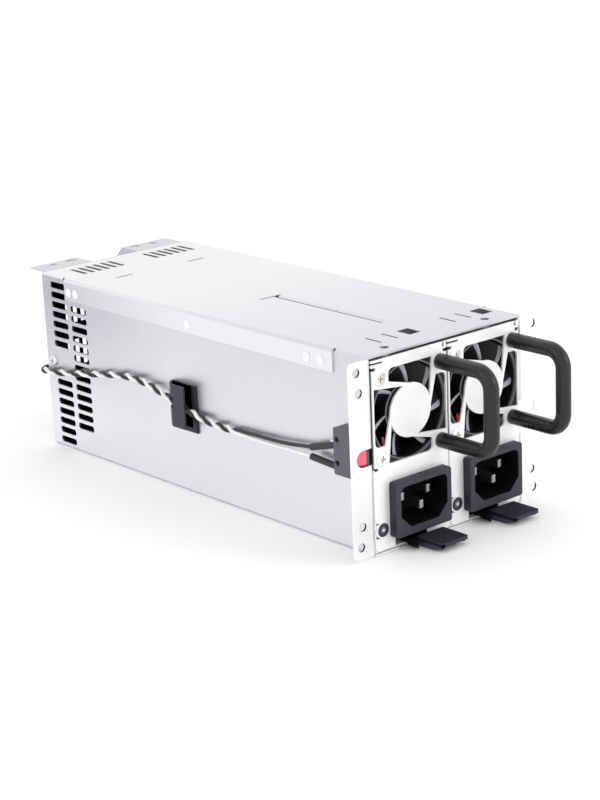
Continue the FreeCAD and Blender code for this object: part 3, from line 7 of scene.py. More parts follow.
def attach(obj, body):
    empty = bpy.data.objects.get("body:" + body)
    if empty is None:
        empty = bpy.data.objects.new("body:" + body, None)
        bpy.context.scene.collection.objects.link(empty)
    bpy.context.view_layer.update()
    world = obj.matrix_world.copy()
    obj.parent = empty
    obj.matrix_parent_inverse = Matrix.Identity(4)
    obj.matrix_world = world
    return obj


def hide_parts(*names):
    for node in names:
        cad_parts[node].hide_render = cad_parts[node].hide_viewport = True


# A rack-mount cage with two hot swap power modules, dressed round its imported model. Blender works in metres
# with +Z up; the pieces' own sizes are written in millimetres.
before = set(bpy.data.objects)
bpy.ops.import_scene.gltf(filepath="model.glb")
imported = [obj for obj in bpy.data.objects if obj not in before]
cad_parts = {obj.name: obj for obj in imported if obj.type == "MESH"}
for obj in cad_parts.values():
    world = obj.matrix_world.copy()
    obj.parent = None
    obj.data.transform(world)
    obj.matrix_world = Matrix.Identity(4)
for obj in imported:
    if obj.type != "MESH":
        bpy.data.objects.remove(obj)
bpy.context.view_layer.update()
MM = 0.001

# Camera
# It stands well off the cage's front left corner and a little above it, with a long lens. Its place and turns
# come from the vanishing lines of the photograph.
CAMERA_PLACE = Vector((-556.9, -670.5, 295.1)) * MM
CAMERA_HEADING = math.radians(-40.51)
CAMERA_DROP = math.radians(16.81)
CAMERA_ROLL = math.radians(-2.43)
CAMERA_LENS = 95.3

camera_data = bpy.data.cameras.new("camera")
camera_data.lens = CAMERA_LENS
camera = bpy.data.objects.new("camera", camera_data)
bpy.context.scene.collection.objects.link(camera)
camera.matrix_world = (Matrix.Translation(CAMERA_PLACE) @ Matrix.Rotation(CAMERA_HEADING, 4, "Z")
                       @ Matrix.Rotation(math.pi / 2 - CAMERA_DROP, 4, "X") @ Matrix.Rotation(CAMERA_ROLL, 4, "Z"))
bpy.context.scene.camera = camera

# Floor and light
# A near-white floor under an even white sky, with a soft box in front, one over the top and one at the left.
# The boxes are weak beside the sky: they only give the sheets and the handles a soft sheen.
FLOOR_SIZE = 8.0
FLOOR_DROP = 0.0002
FLOOR_CLOUD = 0.3
FLOOR_WHITE = (0.985, 0.985, 0.985, 1)
FLOOR_SHADE = (0.965, 0.965, 0.965, 1)
SKY_STRENGTH = 1.04
SOFT_BOXES = {
    "front_box": {"place": (0.9, -1.5, 0.9), "size": 0.8, "power": 6.0},
    "top_box": {"place": (0.5, 0.9, 1.6), "size": 1.4, "power": 3.0},
    "left_box": {"place": (-1.7, 0.2, 0.8), "size": 0.8, "power": 2.0},
}


class Amount:
    """A number in a material that can be used in a sum."""

    def __init__(self, finish, socket):
        self.finish = finish
        self.socket = socket

    def reckon(self, operation, first, second):
        node = self.finish.node("ShaderNodeMath", {"operation": operation}, {0: first, 1: second})
        return Amount(self.finish, node.outputs[0])

    def __add__(self, other):
        return self.reckon("ADD", self, other)

    def __sub__(self, other):
        return self.reckon("SUBTRACT", self, other)

    def __rsub__(self, other):
        return self.reckon("SUBTRACT", other, self)

    def __mul__(self, other):
        return self.reckon("MULTIPLY", self, other)

    def __pow__(self, other):
        return self.reckon("POWER", self, other)

    __radd__ = __add__
    __rmul__ = __mul__


class Finish:
    """One material: its nodes are added one by one and feed its shader."""

    def __init__(self, name, constants):
        self.material = bpy.data.materials.new(name)
        self.material.use_nodes = True
        self.tree = self.material.node_tree
        self.shader = self.tree.nodes["Principled BSDF"]
        self.place = self.node("ShaderNodeTexCoord", {}, {}).outputs["Object"]
        self.set(constants)

    def node(self, kind, settings, sockets):
        """Add a node, set it up, and feed its sockets."""
        made = self.tree.nodes.new(kind)
        for name, value in settings.items():
            setattr(made, name, value)
        self.feed(made, sockets)
        return made

    def feed(self, node, sockets):
        """Give a node's sockets their numbers, colours or links."""
        for name, value in sockets.items():
            if isinstance(value, Amount):
                value = value.socket
            if isinstance(value, bpy.types.NodeSocket):
                self.tree.links.new(value, node.inputs[name])
            else:
                node.inputs[name].default_value = value

    def set(self, sockets):
        """Feed the shader itself."""
        self.feed(self.shader, sockets)

    def stretched(self, stretch):
        """The place on the piece, squeezed so that a pattern comes out stretched along an axis."""
        return self.node("ShaderNodeMapping", {}, {"Vector": self.place, "Scale": stretch}).outputs["Vector"]

    def grain(self, size, detail=2.0, stretch=(1, 1, 1)):
        """A soft random pattern from 0 to 1 with grains of about this size."""
        made = self.node("ShaderNodeTexNoise", {},
                         {"Vector": self.stretched(stretch), "Scale": 1 / size, "Detail": detail})
        return Amount(self, made.outputs["Fac"])

    def crystals(self, size, stretch=(1, 1, 1)):
        """Flat patches of about this size, each with its own value from 0 to 1."""
        made = self.node("ShaderNodeTexVoronoi", {}, {"Vector": self.stretched(stretch), "Scale": 1 / size})
        return Amount(self, self.node("ShaderNodeSeparateColor", {}, {"Color": made.outputs["Color"]}).outputs[0])

    def spread(self, amount, low, high):
        """Stretch the part of a pattern between two values to the full range from 0 to 1."""
        made = self.node("ShaderNodeMapRange", {"clamp": True},
                         {"Value": amount, "From Min": low, "From Max": high})
        return Amount(self, made.outputs["Result"])

    def blend(self, amount, first, second):
        """A colour between two others."""
        made = self.node("ShaderNodeMix", {"data_type": "RGBA"}, {0: amount, 6: first, 7: second})
        return made.outputs[2]

    def along(self, axis):
        """The place along an axis of the part's frame, in metres."""
        made = self.node("ShaderNodeSeparateXYZ", {}, {"Vector": self.place})
        return Amount(self, made.outputs[axis])

    def size_of(self, amount):
        """An amount without its sign."""
        return amount.reckon("ABSOLUTE", amount, 0.0)

    def between(self, amount, low, high):
        """1 where an amount lies between two values, elsewhere 0."""
        made = self.node("ShaderNodeMath", {"operation": "COMPARE"},
                         {0: amount, 1: (low + high) / 2, 2: (high - low) / 2})
        return Amount(self, made.outputs[0])

    def relief(self, height, depth):
        """The surface's direction where a pattern raises it by up to this depth."""
        return self.node("ShaderNodeBump", {}, {"Height": height, "Distance": depth}).outputs["Normal"]


def dress(finish, *nodes):
    """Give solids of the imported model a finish."""
    for name in nodes:
        for material_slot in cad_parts[name].material_slots:
            material_slot.material = finish.material


floor_finish = Finish("floor_paper", {"Roughness": 0.9, "Specular IOR Level": 0.1})
floor_finish.set({"Base Color": floor_finish.blend(floor_finish.grain(FLOOR_CLOUD), FLOOR_SHADE, FLOOR_WHITE)})
bpy.ops.object.select_all(action="DESELECT")
bpy.ops.mesh.primitive_plane_add(size=FLOOR_SIZE, location=(0, 0, -FLOOR_DROP))
floor = bpy.context.active_object
floor.name = "floor"
floor.data.materials.append(floor_finish.material)

sky = bpy.data.worlds.new("sky")
sky.use_nodes = True
sky.node_tree.nodes["Background"].inputs["Color"].default_value = (1, 1, 1, 1)
sky.node_tree.nodes["Background"].inputs["Strength"].default_value = SKY_STRENGTH
bpy.context.scene.world = sky
bpy.context.scene.view_settings.view_transform = "Standard"

for box_name, box in SOFT_BOXES.items():
    light_data = bpy.data.lights.new(box_name, "AREA")
    light_data.size = box["size"]
    light_data.energy = box["power"]
    light = bpy.data.objects.new(box_name, light_data)
    bpy.context.scene.collection.objects.link(light)
    light.location = box["place"]
    light.rotation_euler = (-Vector(box["place"])).to_track_quat("-Z", "Y").to_euler()

# Reset leads
# A black and a white lead in plastic sheath, twisted together from the backplane's connector, round the
# rear edge of the left wall and through the clip, then apart to the switch's two terminals.
BLACK_SHEATH = (0.016, 0.016, 0.02, 1)
BLACK_SHADE = (0.01, 0.01, 0.012, 1)
WHITE_SHEATH = (0.92, 0.92, 0.91, 1)
WHITE_SHADE = (0.80, 0.80, 0.80, 1)
LEAD_DIAMETER = 1.6 * MM
TWIST_PITCH_FRONT = 10.5 * MM
TWIST_PITCH_REAR = 14.5 * MM
TWIST_STRIDE = 4
LINE_STEP = 0.25 * MM
PAIR_ROUTE = [(-30, 79.1, 34.5), (-30, 87, 34.5), (-33.6, 97.5, 34.3), (-35.3, 109.1, 34.4), (-39.4, 111.5, 34.6),
              (-43.6, 109.1, 34.9), (-43.5, 102, 35.3), (-43.6, 88.5, 37), (-43.5, 72.5, 39.8), (-43.6, 55.5, 42.9),
              (-43.7, 38.5, 44.8), (-43.9, 23.5, 42.8), (-44.2, 8.5, 39.4), (-43.9, -4.5, 36), (-43.5, -17.5, 34.6),
              (-43.5, -29.5, 34.9)]
BLACK_LEAD_ROUTE = [(-43.5, -34.5, 35.7), (-43.5, -41.5, 35.9), (-43.9, -53.5, 36.3), (-44.3, -65.5, 37.2),
                    (-44.4, -76.5, 38.9)]
WHITE_LEAD_ROUTE = [(-43.5, -34.5, 34.1), (-43.5, -41.5, 33.9), (-43.9, -53.5, 34.2), (-44.3, -65.5, 34.9),
                    (-44.4, -76.5, 34.9)]


def spline_object(name, points, thickness):
    """A smooth curve that a list of points pulls into shape."""
    curve = bpy.data.curves.new(name, "CURVE")
    curve.dimensions = "3D"
    curve.resolution_u = 8
    curve.bevel_depth = thickness / 2
    curve.bevel_resolution = 4
    curve.use_fill_caps = thickness > 0
    spline = curve.splines.new("NURBS")
    spline.points.add(len(points) - 1)
    for point, place in zip(spline.points, points):
        point.co = (*place, 1)
    spline.order_u = 3
    spline.use_endpoint_u = True
    made = bpy.data.objects.new(name, curve)
    bpy.context.scene.collection.objects.link(made)
    return made


def line_of(points):
    """Places along the middle of the smooth curve through a route, close together and evenly apart."""
    guide = spline_object("guide", points, 0)
    mesh = bpy.data.meshes.new_from_object(guide)
    dots = [vertex.co.copy() for vertex in mesh.vertices]
    bpy.data.objects.remove(guide)
    places = [dots[0]]
    spare = 0.0
    for first, second in zip(dots, dots[1:]):
        run = (second - first).length
        while spare + run >= LINE_STEP:
            first = first.lerp(second, (LINE_STEP - spare) / run)
            run = (second - first).length
            spare = 0.0
            places.append(first)
        spare += run
    return places


def twisted(line, side):
    """One strand's points round the pair's middle line; at the line's end it lies above, or below for side -1."""
    points = []
    turn = 0.0
    for index in range(len(line) - 2, 0, -1):
        share = index / len(line)
        turn -= 2 * math.pi * LINE_STEP / (TWIST_PITCH_REAR + share * (TWIST_PITCH_FRONT - TWIST_PITCH_REAR))
        if index % TWIST_STRIDE == 0:
            ahead = (line[index + 1] - line[index]).normalized()
            up = (Vector((0, 0, 1)) - ahead * ahead.z).normalized()
            points.append(line[index] + Matrix.Rotation(turn, 3, ahead) @ up * side * LEAD_DIAMETER / 2)
    return points[::-1]


def metres(route):
    """A route in millimetres as places in metres."""
    return [Vector(place) * MM for place in route]


def plastic(name, colour, shade, roughness, mottle=2.0, bump=0.01, gloss=0.5):
    """A moulded plastic, a little cloudy, with a fine surface grain."""
    made = Finish(name, {"Specular IOR Level": gloss})
    cloud = made.grain(mottle * MM, 3.0)
    made.set({"Base Color": made.blend(cloud, shade, colour), "Roughness": roughness + 0.12 * cloud,
              "Normal": made.relief(made.grain(0.3 * MM), bump * MM)})
    return made


black_sheath = plastic("black_sheath", BLACK_SHEATH, BLACK_SHADE, 0.28)
white_sheath = plastic("white_sheath", WHITE_SHEATH, WHITE_SHADE, 0.30)

pair_line = line_of(metres(PAIR_ROUTE))
for lead_name, side, lead_route, lead_finish in (("black_lead", 1, BLACK_LEAD_ROUTE, black_sheath),
                                                 ("white_lead", -1, WHITE_LEAD_ROUTE, white_sheath)):
    lead = spline_object("reset_" + lead_name, twisted(pair_line, side) + metres(lead_route), LEAD_DIAMETER)
    lead.data.materials.append(lead_finish.material)
    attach(lead, "cage")
    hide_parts(lead_name, "reset_wire_pair")

# Sleeves and terminals
# Dull black sleeves are shrunk over the soldered joints at the switch, whose blades are tinned. The output
# terminals at the rear are brass posts that stand in the backplane's board.
SLEEVE_BLACK = (0.022, 0.022, 0.026, 1)
SLEEVE_SHADE = (0.014, 0.014, 0.017, 1)
TIN_LIGHT = (0.80, 0.80, 0.82, 1)
TIN_DARK = (0.66, 0.66, 0.69, 1)
BRASS_LIGHT = (0.80, 0.62, 0.30, 1)
BRASS_DARK = (0.66, 0.48, 0.20, 1)

shrink_film = plastic("shrink_film", SLEEVE_BLACK, SLEEVE_SHADE, 0.42, 1.2, 0.03)
dress(shrink_film, "heat_shrink_sleeves")


def metal(name, light, dark, roughness, patch=3.0, stretch=(1, 1, 1)):
    """Bare or plated metal, a little patchy and finely brushed."""
    made = Finish(name, {"Metallic": 1.0})
    cloud = made.grain(patch * MM, 3.0)
    brushed = made.grain(0.25 * MM, 2.0, stretch)
    made.set({"Base Color": made.blend(0.6 * cloud + 0.4 * brushed, dark, light),
              "Roughness": roughness + 0.12 * brushed, "Normal": made.relief(brushed, 0.006 * MM)})
    return made


tin = metal("tinned_blade", TIN_LIGHT, TIN_DARK, 0.28)
dress(tin, "reset_switch_terminals")
brass = metal("brass_post", BRASS_LIGHT, BRASS_DARK, 0.26)
dress(brass, "output_terminals")

# Reset switch and button
# A dark grey-violet snap-action switch with faint mould lines, fixed flat on the wall behind the ear. Its cap is
# satin red plastic on a stem, cut flat on two sides, and shows in the ear's window beside a grey strip.
SWITCH_GREY = (0.105, 0.102, 0.13, 1)
SWITCH_SHADE = (0.08, 0.078, 0.102, 1)
SWITCH_SEAM = (0.05, 0.05, 0.065, 1)
SWITCH_SEAM_X = (-44.72, -44.48)
BUTTON_RED = (1.0, 0.15, 0.22, 1)
BUTTON_SHADE = (0.92, 0.11, 0.17, 1)
CAP_PLACE = (-45.0, -106.9, 40.9)
CAP_RADIUS = 3.1
CAP_DEPTH = 2.3
CAP_RIGHT = (-43.5, -105, 40.9)
CAP_BOTTOM = (-45, -105, 38.4)
STEM_PLACE = (-44.7, -105.0, 40.9)
STEM_RADIUS = 1.1
STEM_DEPTH = 4.7
STRIP_LOW = (-43.3, -106.4, 37.8)
STRIP_HIGH = (-41.4, -103.2, 44.0)


def edit(piece, mode, select):
    """Start editing a piece with the faces or edges that a rule picks out selected."""
    bpy.ops.object.select_all(action="DESELECT")
    piece.select_set(True)
    bpy.context.view_layer.objects.active = piece
    bpy.ops.object.mode_set(mode="EDIT")
    bpy.ops.mesh.select_mode(type=mode)
    bpy.ops.mesh.select_all(action="DESELECT")
    bpy.ops.object.mode_set(mode="OBJECT")
    for part in piece.data.polygons if mode == "FACE" else piece.data.edges:
        part.select = select(part)
    bpy.ops.object.mode_set(mode="EDIT")


def rod(name, radius, depth, place, vertices=40):
    """A cylinder along Y, from a place rearwards by its depth, in millimetres."""
    bpy.ops.object.select_all(action="DESELECT")
    bpy.ops.mesh.primitive_cylinder_add(vertices=vertices, radius=radius * MM, depth=depth * MM,
                                        location=Vector((place[0], place[1] + depth / 2, place[2])) * MM,
                                        rotation=(math.pi / 2, 0, 0))
    made = bpy.context.active_object
    made.name = name
    bpy.ops.object.transform_apply(location=True, rotation=True, scale=True)
    return made


def block(name, low, high):
    """A box between two corners, in millimetres."""
    bpy.ops.object.select_all(action="DESELECT")
    bpy.ops.mesh.primitive_cube_add(size=1, location=(Vector(low) + Vector(high)) / 2 * MM)
    made = bpy.context.active_object
    made.name = name
    made.scale = (Vector(high) - Vector(low)) * MM
    bpy.ops.object.transform_apply(location=True, rotation=True, scale=True)
    return made


def edge_middle(piece, edge):
    """The middle of an edge in millimetres, and its direction."""
    first, second = (piece.data.vertices[index].co for index in edge.vertices)
    return (first + second) / 2 / MM, (second - first).normalized()


def round_edges(piece, width, segments, rule):
    """Round the edges that a rule picks out by their middle and direction; one segment makes a chamfer."""
    edit(piece, "EDGE", lambda edge: rule(*edge_middle(piece, edge)))
    bpy.ops.mesh.bevel(offset=width * MM, segments=segments, affect="EDGES")
    bpy.ops.object.mode_set(mode="OBJECT")


def chop(piece, point, normal):
    """Cut a piece along a plane and take away the side that the plane's normal points to."""
    edit(piece, "FACE", lambda face: True)
    bpy.ops.mesh.bisect(plane_co=Vector(point) * MM, plane_no=Vector(normal).normalized(), use_fill=True,
                        clear_outer=True)
    bpy.ops.object.mode_set(mode="OBJECT")


def carve(piece, *tools, operation="DIFFERENCE"):
    """Cut other pieces out of one, or keep only what they share, and take them away."""
    for tool in tools:
        modifier = piece.modifiers.new("cut", "BOOLEAN")
        modifier.operation = operation
        modifier.solver = "EXACT"
        modifier.object = tool
        bpy.ops.object.select_all(action="DESELECT")
        piece.select_set(True)
        bpy.context.view_layer.objects.active = piece
        bpy.ops.object.modifier_apply(modifier=modifier.name)
        bpy.data.objects.remove(tool)


def smooth(piece, angle=35):
    """Shade the piece smooth except at sharp edges."""
    bpy.ops.object.select_all(action="DESELECT")
    piece.select_set(True)
    bpy.context.view_layer.objects.active = piece
    bpy.ops.object.shade_smooth_by_angle(angle=math.radians(angle))


def copied(piece, matrix):
    """A copy of a piece with its own mesh, turned and moved."""
    made = piece.copy()
    made.data = piece.data.copy()
    made.data.transform(matrix)
    bpy.context.scene.collection.objects.link(made)
    return made


def joined(name, pieces):
    """One piece made of several."""
    bpy.ops.object.select_all(action="DESELECT")
    for piece in pieces:
        piece.select_set(True)
    bpy.context.view_layer.objects.active = pieces[0]
    if len(pieces) > 1:
        bpy.ops.object.join()
    made = bpy.context.active_object
    made.name = name
    made.data.name = name
    return made


def fit(piece, body, slot, finish, *nodes):
    """Give a piece its finish, and let it take the place of nodes on a body."""
    piece.data.materials.clear()
    piece.data.materials.append(finish.material)
    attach(piece, body)
    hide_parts(*nodes)


BAY = 20.2
BAY_X = {"left": -BAY, "right": BAY}


def fit_both(piece, name, slot, finish, node, body="module_"):
    """Put a piece made at the middle of a bay into both modules."""
    for side, bay in BAY_X.items():
        made = copied(piece, Matrix.Translation((bay * MM, 0, 0)))
        made.name = name + side
        fit(made, body + side, slot, finish, node + side)
    bpy.data.objects.remove(piece)


switch_grey = plastic("switch_grey", SWITCH_GREY, SWITCH_SHADE, 0.40)
switch_cloud = switch_grey.grain(2 * MM, 3.0)
switch_seam = switch_grey.between(switch_grey.along("X"), SWITCH_SEAM_X[0] * MM, SWITCH_SEAM_X[1] * MM)
switch_colour = switch_grey.blend(switch_cloud, SWITCH_SHADE, SWITCH_GREY)
switch_grey.set({"Base Color": switch_grey.blend(switch_seam, switch_colour, SWITCH_SEAM)})
dress(switch_grey, "reset_switch")

button_red = plastic("button_red", BUTTON_RED, BUTTON_SHADE, 0.34)
cap = rod("cap", CAP_RADIUS, CAP_DEPTH, CAP_PLACE, 64)
round_edges(cap, 0.5, 4, lambda middle, way: middle.y < CAP_PLACE[1] + 0.1)
chop(cap, CAP_RIGHT, (1, 0, 0))
chop(cap, CAP_BOTTOM, (0, 0, -1))
smooth(cap)
stem = rod("stem", STEM_RADIUS, STEM_DEPTH, STEM_PLACE, 32)
fit(joined("button_cap", [cap, stem]), "reset_button", "red_button", button_red, "reset_button")

guide = block("button_guide", STRIP_LOW, STRIP_HIGH)
round_edges(guide, 0.3, 2, lambda middle, way: middle.y < STRIP_LOW[1] + 0.1)
guide.data.materials.append(switch_grey.material)
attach(guide, "cage")

# Cable clip
# Black adhesive-backed plastic: a base on the wall and a flap bent over the leads from its rear edge, with a
# slot for them. Its outer faces are painted lighter as lit, its inner ones painted near black as shade.
CLIP_OUTSIDE = (0.030, 0.029, 0.042, 1)
CLIP_PAINTED_SHADE = (0.004, 0.004, 0.005, 1)
CLIP_BASE_LOW = (-42.2, -1.4, 27.4)
CLIP_BASE_HIGH = (-41.2, 14.6, 48.0)
CLIP_BASE_FACE_X = (-42.3, -42.1)
CLIP_FLAP_LOW = (-46.5, 1.3, 29.6)
CLIP_FLAP_HIGH = (-42.0, 14.6, 48.0)
CLIP_HOLLOW_LOW = (-45.7, 0, 28.6)
CLIP_HOLLOW_HIGH = (-42.2, 13.8, 49.0)
CLIP_SHEET = 0.8
CLIP_SHOULDERS = {(-43.5, 13.6): (-0.61, 0.79, 0), (-45.65, 11.1): (-0.87, 0.49, 0)}
CLIP_SLOT_LOW = (-47.5, 8.6, 37.7)
CLIP_SLOT_HIGH = (-42.2, 15.6, 42.9)

clip_black = plastic("clip_plastic", CLIP_OUTSIDE, CLIP_PAINTED_SHADE, 0.40, gloss=0.4)
clip_cloud = clip_black.grain(3 * MM, 3.0)
# Painted light on the flap's outer side and the base's outer face; painted shade everywhere else.
clip_outer = clip_black.spread(0.0 - clip_black.along("X"), 44.5 * MM, 46.3 * MM)
clip_base_face = clip_black.between(clip_black.along("X"), CLIP_BASE_FACE_X[0] * MM, CLIP_BASE_FACE_X[1] * MM)
clip_painted_light = clip_outer + 0.5 * clip_base_face + 0.08 * clip_cloud
clip_black.set({"Base Color": clip_black.blend(clip_painted_light, CLIP_PAINTED_SHADE, CLIP_OUTSIDE)})

flap = block("flap", CLIP_FLAP_LOW, CLIP_FLAP_HIGH)
hollow = block("hollow", CLIP_HOLLOW_LOW, CLIP_HOLLOW_HIGH)
for (x, y), normal in CLIP_SHOULDERS.items():
    chop(flap, (x, y, 40), normal)
    chop(hollow, (x - CLIP_SHEET * normal[0], y - CLIP_SHEET * normal[1], 40), normal)
carve(flap, hollow)
carve(flap, block("slot", CLIP_SLOT_LOW, CLIP_SLOT_HIGH))
clip_base = block("clip_base", CLIP_BASE_LOW, CLIP_BASE_HIGH)
round_edges(clip_base, 0.25, 2, lambda middle, way: middle.x < -42.1)
fit(joined("clip", [clip_base, flap]), "cage", "clip_black", clip_black, "cable_clip")

# Cage sheet
# Galvanised steel, bent, pressed and riveted: the shell with its ears, cover, rear panel and backplane bracket.
# Fine rolling streaks run along it under a faint bloom of zinc crystals. Light and shade are painted on it: the
# walls lighter low and darker at the rear top, the ears' fronts light, the top darker in front, the flanges and
# bends shaded, and the inside, holes and slits black.
FACE_Y = -107.5
REAR_Y = 107.0
WALL_TOP = (0.655, 0.645, 0.69, 1)
WALL_LOW = (0.875, 0.865, 0.91, 1)
WALL_BLOOM = (0.76, 0.75, 0.79, 1)
WALL_REAR_PAINTED_SHADE = (0.47, 0.48, 0.53, 1)
PANEL_LIGHT = (0.75, 0.745, 0.77, 1)
PANEL_DARK = (0.68, 0.68, 0.71, 1)
EAR_PAINTED_LIGHT = (0.96, 0.96, 0.965, 1)
TOP_FRONT = (0.655, 0.65, 0.69, 1)
TOP_REAR = (0.79, 0.78, 0.80, 1)
TAB_TONE = (0.62, 0.615, 0.64, 1)
LIP_TONE = (0.50, 0.50, 0.53, 1)
FLANGE_LIGHT = (0.80, 0.795, 0.83, 1)
FLANGE_REAR = (0.60, 0.605, 0.65, 1)
BEND_PAINTED_SHADE = (0.42, 0.42, 0.45, 1)
INSIDE_PAINTED_SHADE = (0.012, 0.012, 0.015, 1)


def zinc_sheet(name):
    """Galvanised sheet: its finish, and the pattern of its streaks and crystals from 0 to 1."""
    made = Finish(name, {"Metallic": 1.0})
    streaks = made.grain(0.5 * MM, 3.0, (1, 0.04, 1))
    crystals = made.crystals(3.5 * MM, (1, 0.6, 1))
    made.set({"Roughness": 0.34 + 0.10 * streaks + 0.06 * crystals,
              "Normal": made.relief(streaks, 0.006 * MM)})
    return made, 0.5 * made.grain(18 * MM, 3.0) + 0.3 * streaks + 0.2 * crystals


def bay_offset(finish, x):
    """How far a place lies to either side of the line that runs at this x in each of the two bays."""
    return finish.size_of(finish.size_of(finish.along("X") - x * MM) - BAY * MM)


EAR_HOLES = ((48.0, 5.8), (48.0, 75.3), (47.0, 13.9), (47.0, 67.1))
EAR_HOLE_WALL = 1.79

shell_sheet, shell_pattern = zinc_sheet("shell_sheet")
along = shell_sheet.along("Y")
height = shell_sheet.along("Z")
off_middle = shell_sheet.size_of(shell_sheet.along("X"))
# Painted light and shade: the walls are lighter towards the bottom, darker towards the top, and darker again towards
# the rear top.
colour = shell_sheet.blend(shell_sheet.spread(height, 0.0, 78 * MM), WALL_LOW, WALL_TOP)
colour = shell_sheet.blend(0.14 * shell_pattern, colour, WALL_BLOOM)
painted_rear_shade = shell_sheet.spread(along, 15 * MM, 95 * MM) * shell_sheet.spread(height, 20 * MM, 70 * MM)
colour = shell_sheet.blend(painted_rear_shade, colour, WALL_REAR_PAINTED_SHADE)
# Painted light: the ears' front faces are painted near white, as lit from the front.
colour = shell_sheet.blend(shell_sheet.spread(0.0 - along, 105.6 * MM, 106.6 * MM), colour, EAR_PAINTED_LIGHT)
# Painted shade: the walls' inside faces behind the front and the walls of the ear holes are painted black.
painted_shade_mask = (shell_sheet.between(off_middle, 0.0, 40.45 * MM) * shell_sheet.between(height, 0.79 * MM, 81 * MM)
               * shell_sheet.spread(along, -104.5 * MM, -100 * MM))
for ear_x, ear_z in EAR_HOLES:
    off_x = off_middle - ear_x * MM
    off_z = height - ear_z * MM
    painted_shade_mask += shell_sheet.between((off_x * off_x + off_z * off_z) ** 0.5, -1, EAR_HOLE_WALL * MM)
painted_shade_mask = shell_sheet.spread(painted_shade_mask, 0.0, 1.0)
shell_sheet.set({"Base Color": shell_sheet.blend(painted_shade_mask, colour, INSIDE_PAINTED_SHADE)})
dress(shell_sheet, "cage_shell")

TAB_Y = (107.5, 121)
TAB_LIP_X = 12.85
BEND_Y = (107.2, 107.7)
FLANGE_Z = (60, 78.6)
COVER_UNDER_Z = (60, 79.25)
COVER_INNER_X = 41.1
SQUARE_HOLE_X = 15
SQUARE_HOLE_Y = (-95.47, -87.93)
EDGE_NOTCH_X = (40.4, 43)
EDGE_NOTCH_Z = (78.9, 81)

cover_sheet, cover_pattern = zinc_sheet("cover_sheet")
along = cover_sheet.along("Y")
height = cover_sheet.along("Z")
off_middle = cover_sheet.size_of(cover_sheet.along("X"))
# Painted reflection: the top is painted darker at the front and lighter towards the rear.
rearwards = cover_sheet.spread(along, FACE_Y * MM, 30 * MM)
colour = cover_sheet.blend(rearwards * 0.94 + 0.06 * cover_pattern, TOP_FRONT, TOP_REAR)
tab = cover_sheet.between(along, TAB_Y[0] * MM, TAB_Y[1] * MM)
colour = cover_sheet.blend(tab, colour, TAB_TONE)
colour = cover_sheet.blend(tab * cover_sheet.between(off_middle, 0.0, TAB_LIP_X * MM), colour, LIP_TONE)
# Painted shade: a dark line along the cover's rear bend.
colour = cover_sheet.blend(cover_sheet.between(along, BEND_Y[0] * MM, BEND_Y[1] * MM), colour, BEND_PAINTED_SHADE)
on_box = cover_sheet.between(along, (FACE_Y - 0.5) * MM, REAR_Y * MM)
# Painted light and shade: the flanges are painted lighter at the front and darker towards the rear.
flange_tone = cover_sheet.blend(cover_sheet.spread(along, 0.0, 85 * MM), FLANGE_LIGHT, FLANGE_REAR)
colour = cover_sheet.blend(cover_sheet.between(height, FLANGE_Z[0] * MM, FLANGE_Z[1] * MM) * on_box, colour,
                           flange_tone)
# Painted shade: the cover's underside, the walls of its square holes and the slits at its edges are painted black.
underside = (cover_sheet.between(height, COVER_UNDER_Z[0] * MM, COVER_UNDER_Z[1] * MM) * on_box
             * cover_sheet.between(off_middle, 0.0, COVER_INNER_X * MM))
square_hole = (cover_sheet.between(bay_offset(cover_sheet, SQUARE_HOLE_X), -1, 2.97 * MM)
               * cover_sheet.between(along, SQUARE_HOLE_Y[0] * MM, SQUARE_HOLE_Y[1] * MM))
edge_notch = (cover_sheet.between(off_middle, EDGE_NOTCH_X[0] * MM, EDGE_NOTCH_X[1] * MM)
              * cover_sheet.between(cover_sheet.size_of(along - 1 * MM), 88.9 * MM, 89.9 * MM)
              * cover_sheet.between(height, EDGE_NOTCH_Z[0] * MM, EDGE_NOTCH_Z[1] * MM))
painted_shade_mask = cover_sheet.spread(underside + square_hole + edge_notch, 0.0, 1.0)
cover_sheet.set({"Base Color": cover_sheet.blend(painted_shade_mask, colour, INSIDE_PAINTED_SHADE)})
dress(cover_sheet, "top_cover")

PANEL_INNER_Y = (60, 106.75)

panel_sheet, panel_pattern = zinc_sheet("panel_sheet")
# Painted shade: the rear panel's inner face is painted black.
panel_inner = panel_sheet.between(panel_sheet.along("Y"), PANEL_INNER_Y[0] * MM, PANEL_INNER_Y[1] * MM)
panel_colour = panel_sheet.blend(panel_pattern, PANEL_DARK, PANEL_LIGHT)
panel_sheet.set({"Base Color": panel_sheet.blend(panel_inner, panel_colour, INSIDE_PAINTED_SHADE)})
dress(panel_sheet, "rear_panel", "backplane_bracket")

# Rivets and screws
# Flush nickel-plated rivets hold the cover's flanges on the walls. Bright zinc screws with cross-shaped
# recesses hold the backplane, the modules' lids and, one in each wall near its rear, the rear panel.
RIVET_LIGHT = (0.93, 0.93, 0.94, 1)
RIVET_DARK = (0.82, 0.82, 0.85, 1)
ZINC_LIGHT = (0.97, 0.97, 0.97, 1)
ZINC_DARK = (0.88, 0.88, 0.89, 1)
SIDE_ZINC_LIGHT = (0.86, 0.86, 0.88, 1)
SIDE_ZINC_DARK = (0.70, 0.70, 0.74, 1)
SIDE_SCREW_X = 41.2
SIDE_SCREW_Y = 102.5
SIDE_SCREW_Z = 40.0
SHANK_RADIUS = 1.45

rivet_metal = metal("rivet_nickel", RIVET_LIGHT, RIVET_DARK, 0.24)
dress(rivet_metal, "cover_rivets")
bright_zinc = metal("bright_zinc", ZINC_LIGHT, ZINC_DARK, 0.22)
dress(bright_zinc, "backplane_screws", "lid_screws_left", "lid_screws_right")


